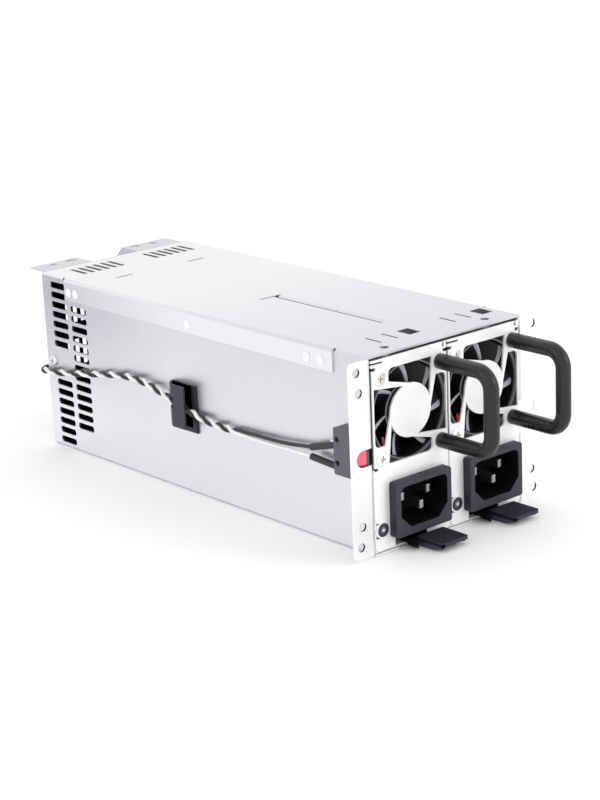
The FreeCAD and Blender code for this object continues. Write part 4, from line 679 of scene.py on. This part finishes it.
def cross_screw(name, radius, height, shank_length, edge):
    """A screw at the origin that points rearwards, with a rounded head and a cross-shaped recess."""
    head = rod(name, radius, height, (0, -height, 0))
    round_edges(head, edge, 4, lambda middle, way: middle.y < -0.99 * height)
    arm = radius * 0.52
    slot = radius * 0.115
    carve(head, block("slot", (-arm, -2 * height, -slot), (arm, -height * 0.35, slot)),
          block("slot", (-slot, -2 * height, -arm), (slot, -height * 0.35, arm)))
    made = joined(name, [head, rod("shank", SHANK_RADIUS, shank_length, (0, -height * 0.2, 0), 24)])
    smooth(made)
    return made


side_zinc = metal("side_zinc", SIDE_ZINC_LIGHT, SIDE_ZINC_DARK, 0.26)
side_screw = cross_screw("side_screw", 2.5, 1.2, 2.4, 0.9)
side_screw_pair = [copied(side_screw, Matrix.Translation(Vector((side * SIDE_SCREW_X, SIDE_SCREW_Y, SIDE_SCREW_Z)) * MM)
                          @ Matrix.Rotation(side * math.pi / 2, 4, "Z")) for side in (-1, 1)]
bpy.data.objects.remove(side_screw)
fit(joined("side_screw_heads", side_screw_pair), "cage", "zinc_screw", side_zinc, "side_screws")

# Fan screws
# Two bright pan heads in front hold the fan to the guard, with tan recesses where the plating is worn. Two long
# screws from behind go through the fan into the handle's ends.
FAN_Z = 54.7
FAN_SCREW_OFF = 16.0
FAN_SCREW_TURN = math.radians(12)
FAN_BACK_Y = -78.7
RECESS_REACH = 1.75
RECESS_Y = (-108.2, -107.6)
RECESS_TAN = (0.66, 0.56, 0.42, 1)
PAN_LIGHT = (0.98, 0.98, 0.98, 1)
PAN_SHADE = (0.92, 0.92, 0.93, 1)
PAN_DARK = (0.90, 0.90, 0.91, 1)

fan_zinc = metal("fan_zinc", PAN_LIGHT, PAN_DARK, 0.24)
screw_up = fan_zinc.size_of(fan_zinc.size_of(fan_zinc.along("Z") - FAN_Z * MM) - FAN_SCREW_OFF * MM)
recess = (fan_zinc.between(bay_offset(fan_zinc, -FAN_SCREW_OFF), -1, RECESS_REACH * MM)
          * fan_zinc.between(screw_up, -1, RECESS_REACH * MM)
          * fan_zinc.between(fan_zinc.along("Y"), RECESS_Y[0] * MM, RECESS_Y[1] * MM))
pan_colour = fan_zinc.blend(fan_zinc.grain(3 * MM, 3.0), PAN_SHADE, PAN_LIGHT)
fan_zinc.set({"Base Color": fan_zinc.blend(recess, pan_colour, RECESS_TAN)})
front_screw = cross_screw("front_screw", 2.9, 0.8, 9.0, 0.3)
long_screw = cross_screw("long_screw", 2.9, 1.8, 35.3, 1.3)
for side, bay in BAY_X.items():
    four = []
    for z in (FAN_Z - FAN_SCREW_OFF, FAN_Z + FAN_SCREW_OFF):
        four.append(copied(front_screw, Matrix.Translation(Vector((bay - FAN_SCREW_OFF, FACE_Y, z)) * MM)
                           @ Matrix.Rotation(FAN_SCREW_TURN, 4, "Y")))
        four.append(copied(long_screw, Matrix.Translation(Vector((bay + FAN_SCREW_OFF, FAN_BACK_Y, z)) * MM)
                           @ Matrix.Rotation(math.pi, 4, "Z")))
    fit(joined("fan_screw_set_" + side, four), "module_" + side, "zinc_screw", fan_zinc, "fan_screws_" + side)
bpy.data.objects.remove(front_screw)
bpy.data.objects.remove(long_screw)

# Rear outlet, backplane and header
# A moulded black bushing is snapped into the rear panel's cable outlet. The backplane is a green board with
# copper tracks under its mask, and carries white sockets, a white header and a black sounder.
BUSHING_BLACK = (0.02, 0.02, 0.024, 1)
BUSHING_SHADE = (0.012, 0.012, 0.015, 1)
MASK_DARK = (0.01, 0.075, 0.03, 1)
MASK_TRACK = (0.02, 0.13, 0.05, 1)
NYLON_WHITE = (0.78, 0.77, 0.72, 1)
NYLON_SHADE = (0.68, 0.67, 0.62, 1)
SOUNDER_BLACK = (0.016, 0.016, 0.018, 1)
SOUNDER_SHADE = (0.010, 0.010, 0.012, 1)

bushing_black = plastic("bushing_black", BUSHING_BLACK, BUSHING_SHADE, 0.40, gloss=0.35)
dress(bushing_black, "cable_outlet_bushing")

green_mask = Finish("green_mask", {"Specular IOR Level": 0.5})
tracks = green_mask.spread(green_mask.crystals(4 * MM, (1, 0.3, 1)), 0.45, 0.55)
weave = green_mask.grain(0.4 * MM)
green_mask.set({"Base Color": green_mask.blend(tracks, MASK_DARK, MASK_TRACK), "Roughness": 0.35 + 0.15 * weave,
                "Normal": green_mask.relief(weave, 0.01 * MM)})
dress(green_mask, "backplane_board", "main_board_left", "main_board_right")
connector_white = plastic("connector_white", NYLON_WHITE, NYLON_SHADE, 0.42)
dress(connector_white, "backplane_sockets", "reset_header")
sounder_black = plastic("sounder_black", SOUNDER_BLACK, SOUNDER_SHADE, 0.36)
dress(sounder_black, "alarm_buzzer")

# Module sheet
# Bright plated steel, 0.8 mm thick: a stamped face with the fan's guard, bent together with the floor and walls,
# and a lid screwed on top. Faint streaks from rolling run along it. The lid is painted black as shade under the
# cover's holes.
STEEL_DARK = (0.93, 0.93, 0.94, 1)
STEEL_LIGHT = (0.985, 0.985, 0.985, 1)
LID_DARK = (0.86, 0.86, 0.87, 1)
LID_LIGHT = (0.93, 0.93, 0.94, 1)
COVER_HOLE_SPOTS = ((-3.1, 0.6), (5.5, 0.6), (15.0, 3.1))
COVER_HOLE_Y = (-95.6, -86.2)
ROUND_HOLE_X = 27.4
ROUND_HOLE_Y = (-103.2, -99.4)
ROUND_HOLE_REACH = 1.9

module_steel = Finish("module_steel", {"Metallic": 0.25})
module_streaks = module_steel.grain(0.4 * MM, 3.0, (1, 0.05, 1))
module_pattern = 0.6 * module_steel.grain(15 * MM, 3.0) + 0.4 * module_streaks
module_steel.set({"Base Color": module_steel.blend(module_pattern, STEEL_DARK, STEEL_LIGHT),
                  "Roughness": 0.36 + 0.10 * module_streaks,
                  "Normal": module_steel.relief(module_streaks, 0.005 * MM)})

lid_steel = Finish("lid_steel", {"Metallic": 0.8})
lid_streaks = lid_steel.grain(0.4 * MM, 3.0, (1, 0.05, 1))
lid_along = lid_steel.along("Y")
# Painted shade: where the cover's holes lie over the lid, the lid is painted black.
painted_shade_spots = sum(lid_steel.between(bay_offset(lid_steel, x), -1, half * MM) for x, half in COVER_HOLE_SPOTS)
painted_shade_spots = lid_steel.between(lid_along, COVER_HOLE_Y[0] * MM, COVER_HOLE_Y[1] * MM) * lid_steel.spread(painted_shade_spots, 0.0, 1.0)
round_offset = lid_steel.size_of(lid_steel.size_of(lid_steel.along("X")) - ROUND_HOLE_X * MM)
round_shade_spot = (lid_steel.between(round_offset, -1, ROUND_HOLE_REACH * MM)
              * lid_steel.between(lid_along, ROUND_HOLE_Y[0] * MM, ROUND_HOLE_Y[1] * MM))
lid_colour = lid_steel.blend(lid_streaks, LID_DARK, LID_LIGHT)
lid_steel.set({"Base Color": lid_steel.blend(lid_steel.spread(painted_shade_spots + round_shade_spot, 0.0, 1.0), lid_colour, INSIDE_PAINTED_SHADE),
               "Roughness": 0.36 + 0.10 * lid_streaks})
dress(lid_steel, "module_lid_left", "module_lid_right")

SHEET = 0.8
HALF_WIDTH = 20
FACE_Z = (1.0, 78.2)
FLOOR_Z = (1.0, 1.8)
WALL_TOP_Z = 77.1
FAN_OPENING_Z = 34.7
MODULE_BACK_Y = 58.5
FACE_CUTS = [((-21, 76.4), (-14, 77.2)), ((17.4, 76.0), (18.5, 79)), ((-10, 1.8), (7.3, 5.4)),
             ((-11.5, 7.9), (16.3, 27.7)), ((-21, 6.7), (-17.6, 13.3))]
for edge_x in (-HALF_WIDTH, HALF_WIDTH):
    FACE_CUTS += [((edge_x - 0.3, 35.5), (edge_x + 0.3, 74.0)), ((edge_x - 2.2, 34.2), (edge_x + 2.2, 35.5)),
                  ((edge_x - 2.2, 74.0), (edge_x + 2.2, 75.3)), ((edge_x - 1.0, 0), (edge_x + 1.0, 2.3))]
GUARD_DISC = 10.8
GUARD_LOW = (-11.3, 3.34)
GUARD_HIGH = (13, (18.9, 19.1))
GUARD_SPOKE_X = 10.27
SCREW_HOLE = 1.6
LAMP_X = -16.4
LAMP_Z = 10.0
VENT_LEFTS = (-13.3, -9.2, -5.1, -1.0, 3.1, 7.2, 11.3)
VENT_WIDTH = 2.1
VENT_Z = (30, 66)

face = block("face", (-HALF_WIDTH, FACE_Y, FACE_Z[0]), (HALF_WIDTH, FACE_Y + SHEET, FACE_Z[1]))
round_edges(face, 0.6, 3, lambda middle, way: abs(way.z) > 0.9 and middle.y < FACE_Y + 0.1)
round_edges(face, 0.7, 1, lambda middle, way: abs(way.x) > 0.9 and middle.y < FACE_Y + 0.1 and middle.z < 2)
carve(face, *[block("cut", (low[0], FACE_Y - 2, low[1]), (high[0], FACE_Y + 2, high[1])) for low, high in FACE_CUTS])
for quarter in range(4):
    top = GUARD_HIGH[1][quarter % 2]
    window = block("window", (GUARD_LOW[0], FACE_Y - 2, GUARD_LOW[1]), (GUARD_HIGH[0], FACE_Y + 2, top))
    chop(window, (GUARD_SPOKE_X, FACE_Y, GUARD_LOW[1]), (15.56, 0, -1.73))
    round_edges(window, 2.2, 5, lambda middle, way: abs(way.y) > 0.9 and middle.x < -11 and middle.z > top - 0.1)
    guard_arm = block("guard_arm", (-15, FACE_Y - 5, 0), (2.5, FACE_Y + 5, 20))
    chop(guard_arm, (0, FACE_Y, GUARD_DISC), (0.26, 0, 1))
    carve(window, guard_arm)
    carve(window, rod("disc", GUARD_DISC, 8, (0, FACE_Y - 4, 0), 96))
    window.data.transform(Matrix.Translation((0, 0, FAN_Z * MM)) @ Matrix.Rotation(quarter * math.pi / 2, 4, "Y"))
    carve(face, window)
carve(face, *[rod("hole", SCREW_HOLE, 4, (x, FACE_Y - 2, z), 24) for x in (-FAN_SCREW_OFF, FAN_SCREW_OFF)
              for z in (FAN_Z - FAN_SCREW_OFF, FAN_Z + FAN_SCREW_OFF)])
lamp_collar = rod("collar", 3.5, 1.05, (LAMP_X, FACE_Y - 0.25, LAMP_Z), 48)
lamp_hole = rod("hole", 2.85, 6, (LAMP_X, FACE_Y - 3, LAMP_Z), 48)
carve(lamp_collar, copied(lamp_hole, Matrix.Identity(4)))
carve(face, lamp_hole)

inner = HALF_WIDTH - SHEET
front = FACE_Y + SHEET
module_floor = block("sheet", (-HALF_WIDTH, front, FLOOR_Z[0]), (HALF_WIDTH, MODULE_BACK_Y, FLOOR_Z[1]))
back = block("sheet", (-inner, MODULE_BACK_Y - SHEET, FLOOR_Z[1]), (inner, MODULE_BACK_Y, WALL_TOP_Z))
body_sheets = [face, lamp_collar, module_floor, back]
for start, end, top in ((front, FAN_BACK_Y, FAN_OPENING_Z), (FAN_BACK_Y, MODULE_BACK_Y, WALL_TOP_Z)):
    body_sheets.append(block("sheet", (-HALF_WIDTH, start, FLOOR_Z[1]), (-inner, end, top)))
    body_sheets.append(block("sheet", (inner, start, FLOOR_Z[1]), (HALF_WIDTH, end, top)))
carve(back, *[block("vent", (left, MODULE_BACK_Y - 1.5, VENT_Z[0]), (left + VENT_WIDTH, MODULE_BACK_Y + 0.5, VENT_Z[1]))
              for left in VENT_LEFTS])
carve(back, block("tongue_hole", (-14.4, MODULE_BACK_Y - 1.5, 5.6), (14.4, MODULE_BACK_Y + 0.5, 8.0)))
fit_both(joined("module_sheet", body_sheets), "module_sheet_", "nickel_plated_steel", module_steel, "module_chassis_")

# Fans
# A moulded black frame behind the guard, held by the screws, and a moulded hub with seven twisted blades.
# The rim of the bore and the blades' leading edges carry painted highlights. A red lead shows low in the guard.
FAN_BLACK = (0.010, 0.010, 0.013, 1)
FAN_SHADE = (0.006, 0.006, 0.008, 1)
RIM_PAINTED_HIGHLIGHT = (0.16, 0.16, 0.18, 1)
RIM_REACH = (18.9, 19.5)
RIM_Y = (-106.8, -105.6)
BLADE_EDGE_HIGHLIGHT = (0.42, 0.42, 0.45, 1)
BLADE_EDGE_Y = (-104.6, -103.9)

frame_black = plastic("fan_frame_black", FAN_BLACK, FAN_SHADE, 0.42, gloss=0.3)
across = frame_black.size_of(frame_black.along("X")) - BAY * MM
upright = frame_black.along("Z") - FAN_Z * MM
bore_distance = (across * across + upright * upright) ** 0.5
# Painted highlight on the rim of the frame's bore.
bore_rim_highlight = (frame_black.between(bore_distance, RIM_REACH[0] * MM, RIM_REACH[1] * MM)
            * frame_black.between(frame_black.along("Y"), RIM_Y[0] * MM, RIM_Y[1] * MM))
frame_black.set({"Base Color": frame_black.blend(bore_rim_highlight, FAN_BLACK, RIM_PAINTED_HIGHLIGHT)})
dress(frame_black, "fan_frame_left", "fan_frame_right")

wheel_black = plastic("fan_wheel_black", FAN_BLACK, FAN_SHADE, 0.40, gloss=0.3)
# Painted highlight along the blades' leading edges.
blade_edge_glint = wheel_black.between(wheel_black.along("Y"), BLADE_EDGE_Y[0] * MM, BLADE_EDGE_Y[1] * MM)
wheel_black.set({"Base Color": wheel_black.blend(blade_edge_glint, FAN_BLACK, BLADE_EDGE_HIGHLIGHT)})

BLADE_COUNT = 7
BLADE_START = -26.5
BLADE_PITCH = -42
BLADE_TWIST = -14
BLADE_STEPS = 8
BLADE_STEP = 1.35
BLADE_LEAN = 0.8
BLADE_GROWTH = 1.036
BLADE_MIDDLE_Y = -97.5
HUB_Y = -105.1
SWEEP_RADIUS = 18.6

hub = rod("hub", 10.2, 20, (0, HUB_Y, 0), 64)
round_edges(hub, 0.8, 3, lambda middle, way: middle.y < HUB_Y + 0.1)
blade = block("blade", (-0.4, -9.4, 8.6), (0.4, 9.4, 8.8))
edit(blade, "EDGE", lambda edge: abs(edge_middle(blade, edge)[1].y) > 0.9)
bpy.ops.mesh.subdivide(number_cuts=7)
bpy.ops.object.mode_set(mode="OBJECT")
edit(blade, "FACE", lambda face: True)
bpy.ops.transform.rotate(value=math.radians(BLADE_PITCH), orient_axis="Z", center_override=(0, 0, 0))
bpy.ops.object.mode_set(mode="OBJECT")
edit(blade, "FACE", lambda face: face.normal.z > 0.9)
for step in range(BLADE_STEPS):
    lean = -BLADE_LEAN * (step + 0.5) / BLADE_STEPS
    bpy.ops.mesh.extrude_region_move(TRANSFORM_OT_translate={"value": (lean * MM, 0, BLADE_STEP * MM)})
    bpy.ops.transform.rotate(value=math.radians(BLADE_TWIST / BLADE_STEPS), orient_axis="Z", center_override=(0, 0, 0))
    bpy.ops.transform.resize(value=(BLADE_GROWTH, BLADE_GROWTH, 1), center_override=(0, 0, 0))
bpy.ops.object.mode_set(mode="OBJECT")
blade.data.transform(Matrix.Translation((0, BLADE_MIDDLE_Y * MM, 0)))
carve(blade, rod("sweep", SWEEP_RADIUS, 14, (0, BLADE_MIDDLE_Y - 7, 0), 128), operation="INTERSECT")
smooth(blade)
wheel = [hub, rod("shaft", 1.0, 5.0, (0, -86.1, 0), 24)]
for index in range(BLADE_COUNT):
    angle = math.radians(BLADE_START + index * 360 / BLADE_COUNT)
    wheel.append(copied(blade, Matrix.Rotation(angle, 4, "Y")))
bpy.data.objects.remove(blade)
wheel = joined("wheel", wheel)
wheel.data.transform(Matrix.Translation((0, 0, FAN_Z * MM)))
fit_both(wheel, "fan_wheel_", "fan_black", wheel_black, "fan_rotor_", "fan_rotor_")

LEAD_RED = (0.62, 0.02, 0.02, 1)
LEAD_SHADE = (0.50, 0.015, 0.015, 1)
FRONT_LEAD_DIAMETER = 1.1
FRONT_LEAD_ROUTE = [(-13.0, -105.75, -14.0), (-13.5, -105.75, -10.5), (-13.6, -105.75, -8.2)]

red_sheath = plastic("red_sheath", LEAD_RED, LEAD_SHADE, 0.34)
dress(red_sheath, "fan_lead_left", "fan_lead_right")
for side, bay in BAY_X.items():
    lead_points = metres([(bay + x, y, FAN_Z + z) for x, y, z in FRONT_LEAD_ROUTE])
    front_lead = spline_object("fan_front_lead_" + side, lead_points, FRONT_LEAD_DIAMETER * MM)
    front_lead.data.materials.append(red_sheath.material)
    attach(front_lead, "module_" + side)

# Handles
# Glossy black tube, bent to a bow. Its ends stand on the face, and the fan's long screws hold them from behind.
# The gloss is almost even, with only the faintest grain.
HANDLE_BLACK = (0.016, 0.0155, 0.018, 1)
HANDLE_SHADE = (0.011, 0.0105, 0.012, 1)

handle_gloss = plastic("handle_gloss", HANDLE_BLACK, HANDLE_SHADE, 0.22, 8.0, 0.004, 0.4)
dress(handle_gloss, "handle_left", "handle_right")

# Mains inlets
# A grey-violet black moulding, pushed into the face from the front, round a cavity painted black as shade. Its
# front face is painted lighter as lit. Three flat nickel-plated pins go through its back wall, and the earth pin
# stands ahead of the other two.
BEZEL_FACE = (0.022, 0.020, 0.030, 1)
BEZEL_FRONT_PAINTED_LIGHT = (0.045, 0.042, 0.058, 1)
CAVITY_PAINTED_SHADE = (0.003, 0.003, 0.004, 1)
PIN_LIGHT = (0.42, 0.42, 0.44, 1)
PIN_DARK = (0.30, 0.30, 0.32, 1)
INLET_X = 2.4
INLET_Z = 17.8
BEZEL_REACH = 4
BEZEL_EDGE_Y = (-111.6, -111.1)
CAVITY_HALF = (12.62, 8.57)
CAVITY_Y = (-111.2, -90)
PIN_PLACES = ((-4.6, 20.2, 1), (9.4, 20.2, 1), (2.4, 16.2, -2.4))
PIN_HALF = (1.0, 1.8)

inlet_black = plastic("inlet_black", BEZEL_FACE, BEZEL_FRONT_PAINTED_LIGHT, 0.44, gloss=0.3)
inlet_cloud = inlet_black.grain(2 * MM, 3.0)
inlet_up = inlet_black.size_of(inlet_black.along("Z") - INLET_Z * MM)
inlet_along = inlet_black.along("Y")
# Painted light on the bezel's front face; painted shade in the cavity.
lit_front_face = inlet_black.between(inlet_along, BEZEL_EDGE_Y[0] * MM, BEZEL_EDGE_Y[1] * MM)
cavity = (inlet_black.between(bay_offset(inlet_black, INLET_X), -1, CAVITY_HALF[0] * MM)
          * inlet_black.between(inlet_up, -1, CAVITY_HALF[1] * MM)
          * inlet_black.between(inlet_along, CAVITY_Y[0] * MM, CAVITY_Y[1] * MM))
inlet_colour = inlet_black.blend(lit_front_face * 0.7 + 0.3 * inlet_cloud, BEZEL_FACE, BEZEL_FRONT_PAINTED_LIGHT)
inlet_black.set({"Base Color": inlet_black.blend(cavity, inlet_colour, CAVITY_PAINTED_SHADE)})

bezel_front = FACE_Y - BEZEL_REACH
bezel = block("bezel", (-12.6, bezel_front, 5.9), (17.4, FACE_Y, 28.5))
round_edges(bezel, 1.2, 4, lambda middle, way: abs(way.y) > 0.9)
round_edges(bezel, 0.5, 2, lambda middle, way: abs(way.y) < 0.1 and middle.y < bezel_front + 0.1)
throat = block("throat", (-10.15, bezel_front - 1, 9.3), (14.95, FACE_Y + 12, 26.3))
round_edges(throat, 5.0, 1, lambda middle, way: abs(way.y) > 0.9 and middle.z < 10)
round_edges(throat, 2.6, 5, lambda middle, way: abs(way.y) > 0.9 and middle.z > 26)
tub = block("tub", (-11.4, FACE_Y, 8.0), (16.2, FACE_Y + 14, 27.6))
carve(bezel, copied(throat, Matrix.Identity(4)))
carve(tub, throat)
fit_both(joined("inlet", [bezel, tub]), "inlet_", "black_plastic", inlet_black, "inlet_housing_")

pin_nickel = metal("pin_nickel", PIN_LIGHT, PIN_DARK, 0.30)
pins = []
for x, z, start in PIN_PLACES:
    pin_front = FACE_Y + start
    pin = block("pin", (x - PIN_HALF[0], pin_front, z - PIN_HALF[1]), (x + PIN_HALF[0], FACE_Y + 20, z + PIN_HALF[1]))
    round_edges(pin, 0.5, 2, lambda middle, way: middle.y < pin_front + 0.1)
    pins.append(pin)
fit_both(joined("pins", pins), "inlet_pin_set_", "nickel_plated_steel", pin_nickel, "inlet_pins_")

# Status lamps
# A clear, slightly cloudy lens with a small painted highlight at its middle, held in a black plastic ring. The
# ring is pressed into the collar that is drawn up round its hole in the face.
LENS_DARK = (0.13, 0.13, 0.16, 1)
LENS_LIGHT = (0.22, 0.22, 0.26, 1)
LENS_HIGHLIGHT = (0.80, 0.80, 0.84, 1)
LENS_HIGHLIGHT_RADIUS = 0.55
LENS_RADIUS = 1.5
LENS_Y = FACE_Y - 0.4
RING_BLACK = (0.045, 0.043, 0.056, 1)
RING_SHADE = (0.030, 0.029, 0.038, 1)
RING_RADIUS = 2.8
RING_Y = FACE_Y - 0.5

clear_lens = Finish("clear_lens", {"Roughness": 0.12, "IOR": 1.49})
lens_cloud = clear_lens.grain(1.2 * MM, 2.0)
lens_x = bay_offset(clear_lens, LAMP_X)
lens_z = clear_lens.along("Z") - LAMP_Z * MM
# Painted highlight: a small bright spot at the lens's middle.
lens_highlight = clear_lens.between((lens_x * lens_x + lens_z * lens_z) ** 0.5, -1, LENS_HIGHLIGHT_RADIUS * MM)
lens_body = clear_lens.blend(lens_cloud, LENS_DARK, LENS_LIGHT)
clear_lens.set({"Base Color": clear_lens.blend(lens_highlight, lens_body, LENS_HIGHLIGHT),
                "Normal": clear_lens.relief(lens_cloud, 0.01 * MM)})
lens = rod("lens", LENS_RADIUS, 6.5, (LAMP_X, LENS_Y, LAMP_Z))
round_edges(lens, 0.5, 4, lambda middle, way: middle.y < LENS_Y + 0.01)
smooth(lens, 60)
fit_both(lens, "lamp_lens_", "clear_lens", clear_lens, "status_led_")

ring_black = plastic("lamp_ring_black", RING_BLACK, RING_SHADE, 0.34, gloss=0.4)
ring = rod("ring", RING_RADIUS, 5.0, (LAMP_X, RING_Y, LAMP_Z), 48)
round_edges(ring, 0.3, 3, lambda middle, way: middle.y < RING_Y + 0.01)
carve(ring, rod("bore", LENS_RADIUS + 0.05, 8.0, (LAMP_X, FACE_Y - 2, LAMP_Z), 48))
smooth(ring)
fit_both(ring, "lamp_ring_", "black_plastic", ring_black, "led_holder_")

# Latches
# Black moulded levers that turn on steel pins in the module's floor, each held by a steel strip spring. The
# ribbed tabs stand out in front of the face; their sides are painted lighter as lit, and their necks and all
# behind the tabs are painted black as shade.
LATCH_TOP = (0.030, 0.028, 0.038, 1)
LATCH_SIDES_PAINTED_LIGHT = (0.060, 0.056, 0.078, 1)
LATCH_PAINTED_SHADE = (0.004, 0.004, 0.005, 1)
PIN_STEEL_LIGHT = (0.70, 0.70, 0.72, 1)
PIN_STEEL_DARK = (0.56, 0.56, 0.59, 1)
SPRING_LIGHT = (0.52, 0.52, 0.55, 1)
SPRING_DARK = (0.40, 0.40, 0.43, 1)
TAB_SIDE_Z = (0.1, 3.62)
SHADE_FROM_Y = (-109.4, -109.3)
LEFT_NECK_X = (-26, -20.72)
RIGHT_NECK_X = (14, 19.68)
PIVOT_X = -1.0
PIVOT_Y = -83.5
LATCH_Z = (2.1, 3.7)
TAB_START_Y = -123.6
TAB_END_Y = -109.3
RIB_STARTS = (-122.5, -120.3, -118.1, -115.9, -113.7, -111.5)
RIB_WIDTH = 0.9

latch_black = plastic("latch_moulding", LATCH_TOP, LATCH_SIDES_PAINTED_LIGHT, 0.55, gloss=0.05)
latch_x = latch_black.along("X")
latch_cloud = latch_black.grain(2 * MM, 3.0)
# Painted light on the tabs' sides; painted shade behind the tabs and on the necks.
painted_lit_sides = latch_black.between(latch_black.along("Z"), TAB_SIDE_Z[0] * MM, TAB_SIDE_Z[1] * MM)
latch_colour = latch_black.blend(painted_lit_sides * 0.85 + 0.15 * latch_cloud, LATCH_TOP, LATCH_SIDES_PAINTED_LIGHT)
painted_shade_behind = latch_black.spread(latch_black.along("Y"), SHADE_FROM_Y[0] * MM, SHADE_FROM_Y[1] * MM)
latch_colour = latch_black.blend(painted_shade_behind, latch_colour, LATCH_PAINTED_SHADE)
necks = (latch_black.between(latch_x, LEFT_NECK_X[0] * MM, LEFT_NECK_X[1] * MM)
         + latch_black.between(latch_x, RIGHT_NECK_X[0] * MM, RIGHT_NECK_X[1] * MM))
latch_black.set({"Base Color": latch_black.blend(necks, latch_colour, LATCH_PAINTED_SHADE)})

arm = block("arm", (-5.3, -109.5, LATCH_Z[0]), (5.0, PIVOT_Y, LATCH_Z[1]))
chop(arm, (5.0, -109.5, 3), (1, 0.03, 0))
eye = rod("eye", 3.5, LATCH_Z[1] - LATCH_Z[0], (0, 0, 0), 48)
eye.data.transform(Matrix.Translation(Vector((PIVOT_X, PIVOT_Y, LATCH_Z[0])) * MM)
                   @ Matrix.Rotation(math.pi / 2, 4, "X"))
neck = block("neck", (-5.0, -115.3, 1.1), (-0.4, -109.1, LATCH_Z[1]))
chop(neck, (-4.9, -115.2, 2), (5.4, -4.4, 0))
tab = block("tab", (-0.5, TAB_START_Y, LATCH_Z[0]), (14.0, TAB_END_Y, LATCH_Z[1]))
round_edges(tab, 1.0, 4, lambda middle, way: abs(way.z) > 0.9 and middle.x > 13)
round_edges(tab, 0.2, 2, lambda middle, way: abs(way.z) < 0.1 and middle.z > 3.6)
leg = block("leg", (-0.5, TAB_START_Y, 0.2), (1.1, TAB_END_Y, 3.4))
chop(leg, (0, -121.0, 0.93), (0, -1.45, -5.2))
foot = block("foot", (11.4, -122.9, 1.5), (12.6, -122.2, 2.3))
tooth = block("tooth", (-4.0, -101.5, 0.3), (-1.0, -97.5, 2.2))
ribs = [block("rib", (0.8, y, 3.6), (13.0, y + RIB_WIDTH, 3.8)) for y in RIB_STARTS]
latch = joined("latch", [arm, eye, neck, tab, leg, foot, tooth] + ribs)
fit_both(latch, "latch_arm_", "latch_black", latch_black, "latch_lever_", "latch_")

pin_steel = metal("pin_steel", PIN_STEEL_LIGHT, PIN_STEEL_DARK, 0.28)
dress(pin_steel, "latch_pin_left", "latch_pin_right")
spring_steel = metal("spring_steel", SPRING_LIGHT, SPRING_DARK, 0.24)
dress(spring_steel, "latch_spring_left", "latch_spring_right")

# Inside the modules
# Heat sinks of brushed aluminium, a transformer with a dark ferrite core, and capacitors in dark blue film. They
# stand on the module's main board.
ALUMINIUM_LIGHT = (0.80, 0.80, 0.82, 1)
ALUMINIUM_DARK = (0.68, 0.68, 0.70, 1)
FERRITE = (0.05, 0.05, 0.055, 1)
FERRITE_SHADE = (0.03, 0.03, 0.034, 1)
FILM_BLUE = (0.015, 0.02, 0.06, 1)
FILM_SHADE = (0.01, 0.013, 0.04, 1)

aluminium = metal("heat_sink_aluminium", ALUMINIUM_LIGHT, ALUMINIUM_DARK, 0.34, 6.0, (1, 0.05, 1))
dress(aluminium, "heat_sinks_left", "heat_sinks_right")
ferrite = plastic("ferrite_core", FERRITE, FERRITE_SHADE, 0.60, 1.0, 0.05)
dress(ferrite, "transformer_left", "transformer_right")
capacitor_film = plastic("capacitor_film", FILM_BLUE, FILM_SHADE, 0.26)
dress(capacitor_film, "bulk_capacitors_left", "bulk_capacitors_right")
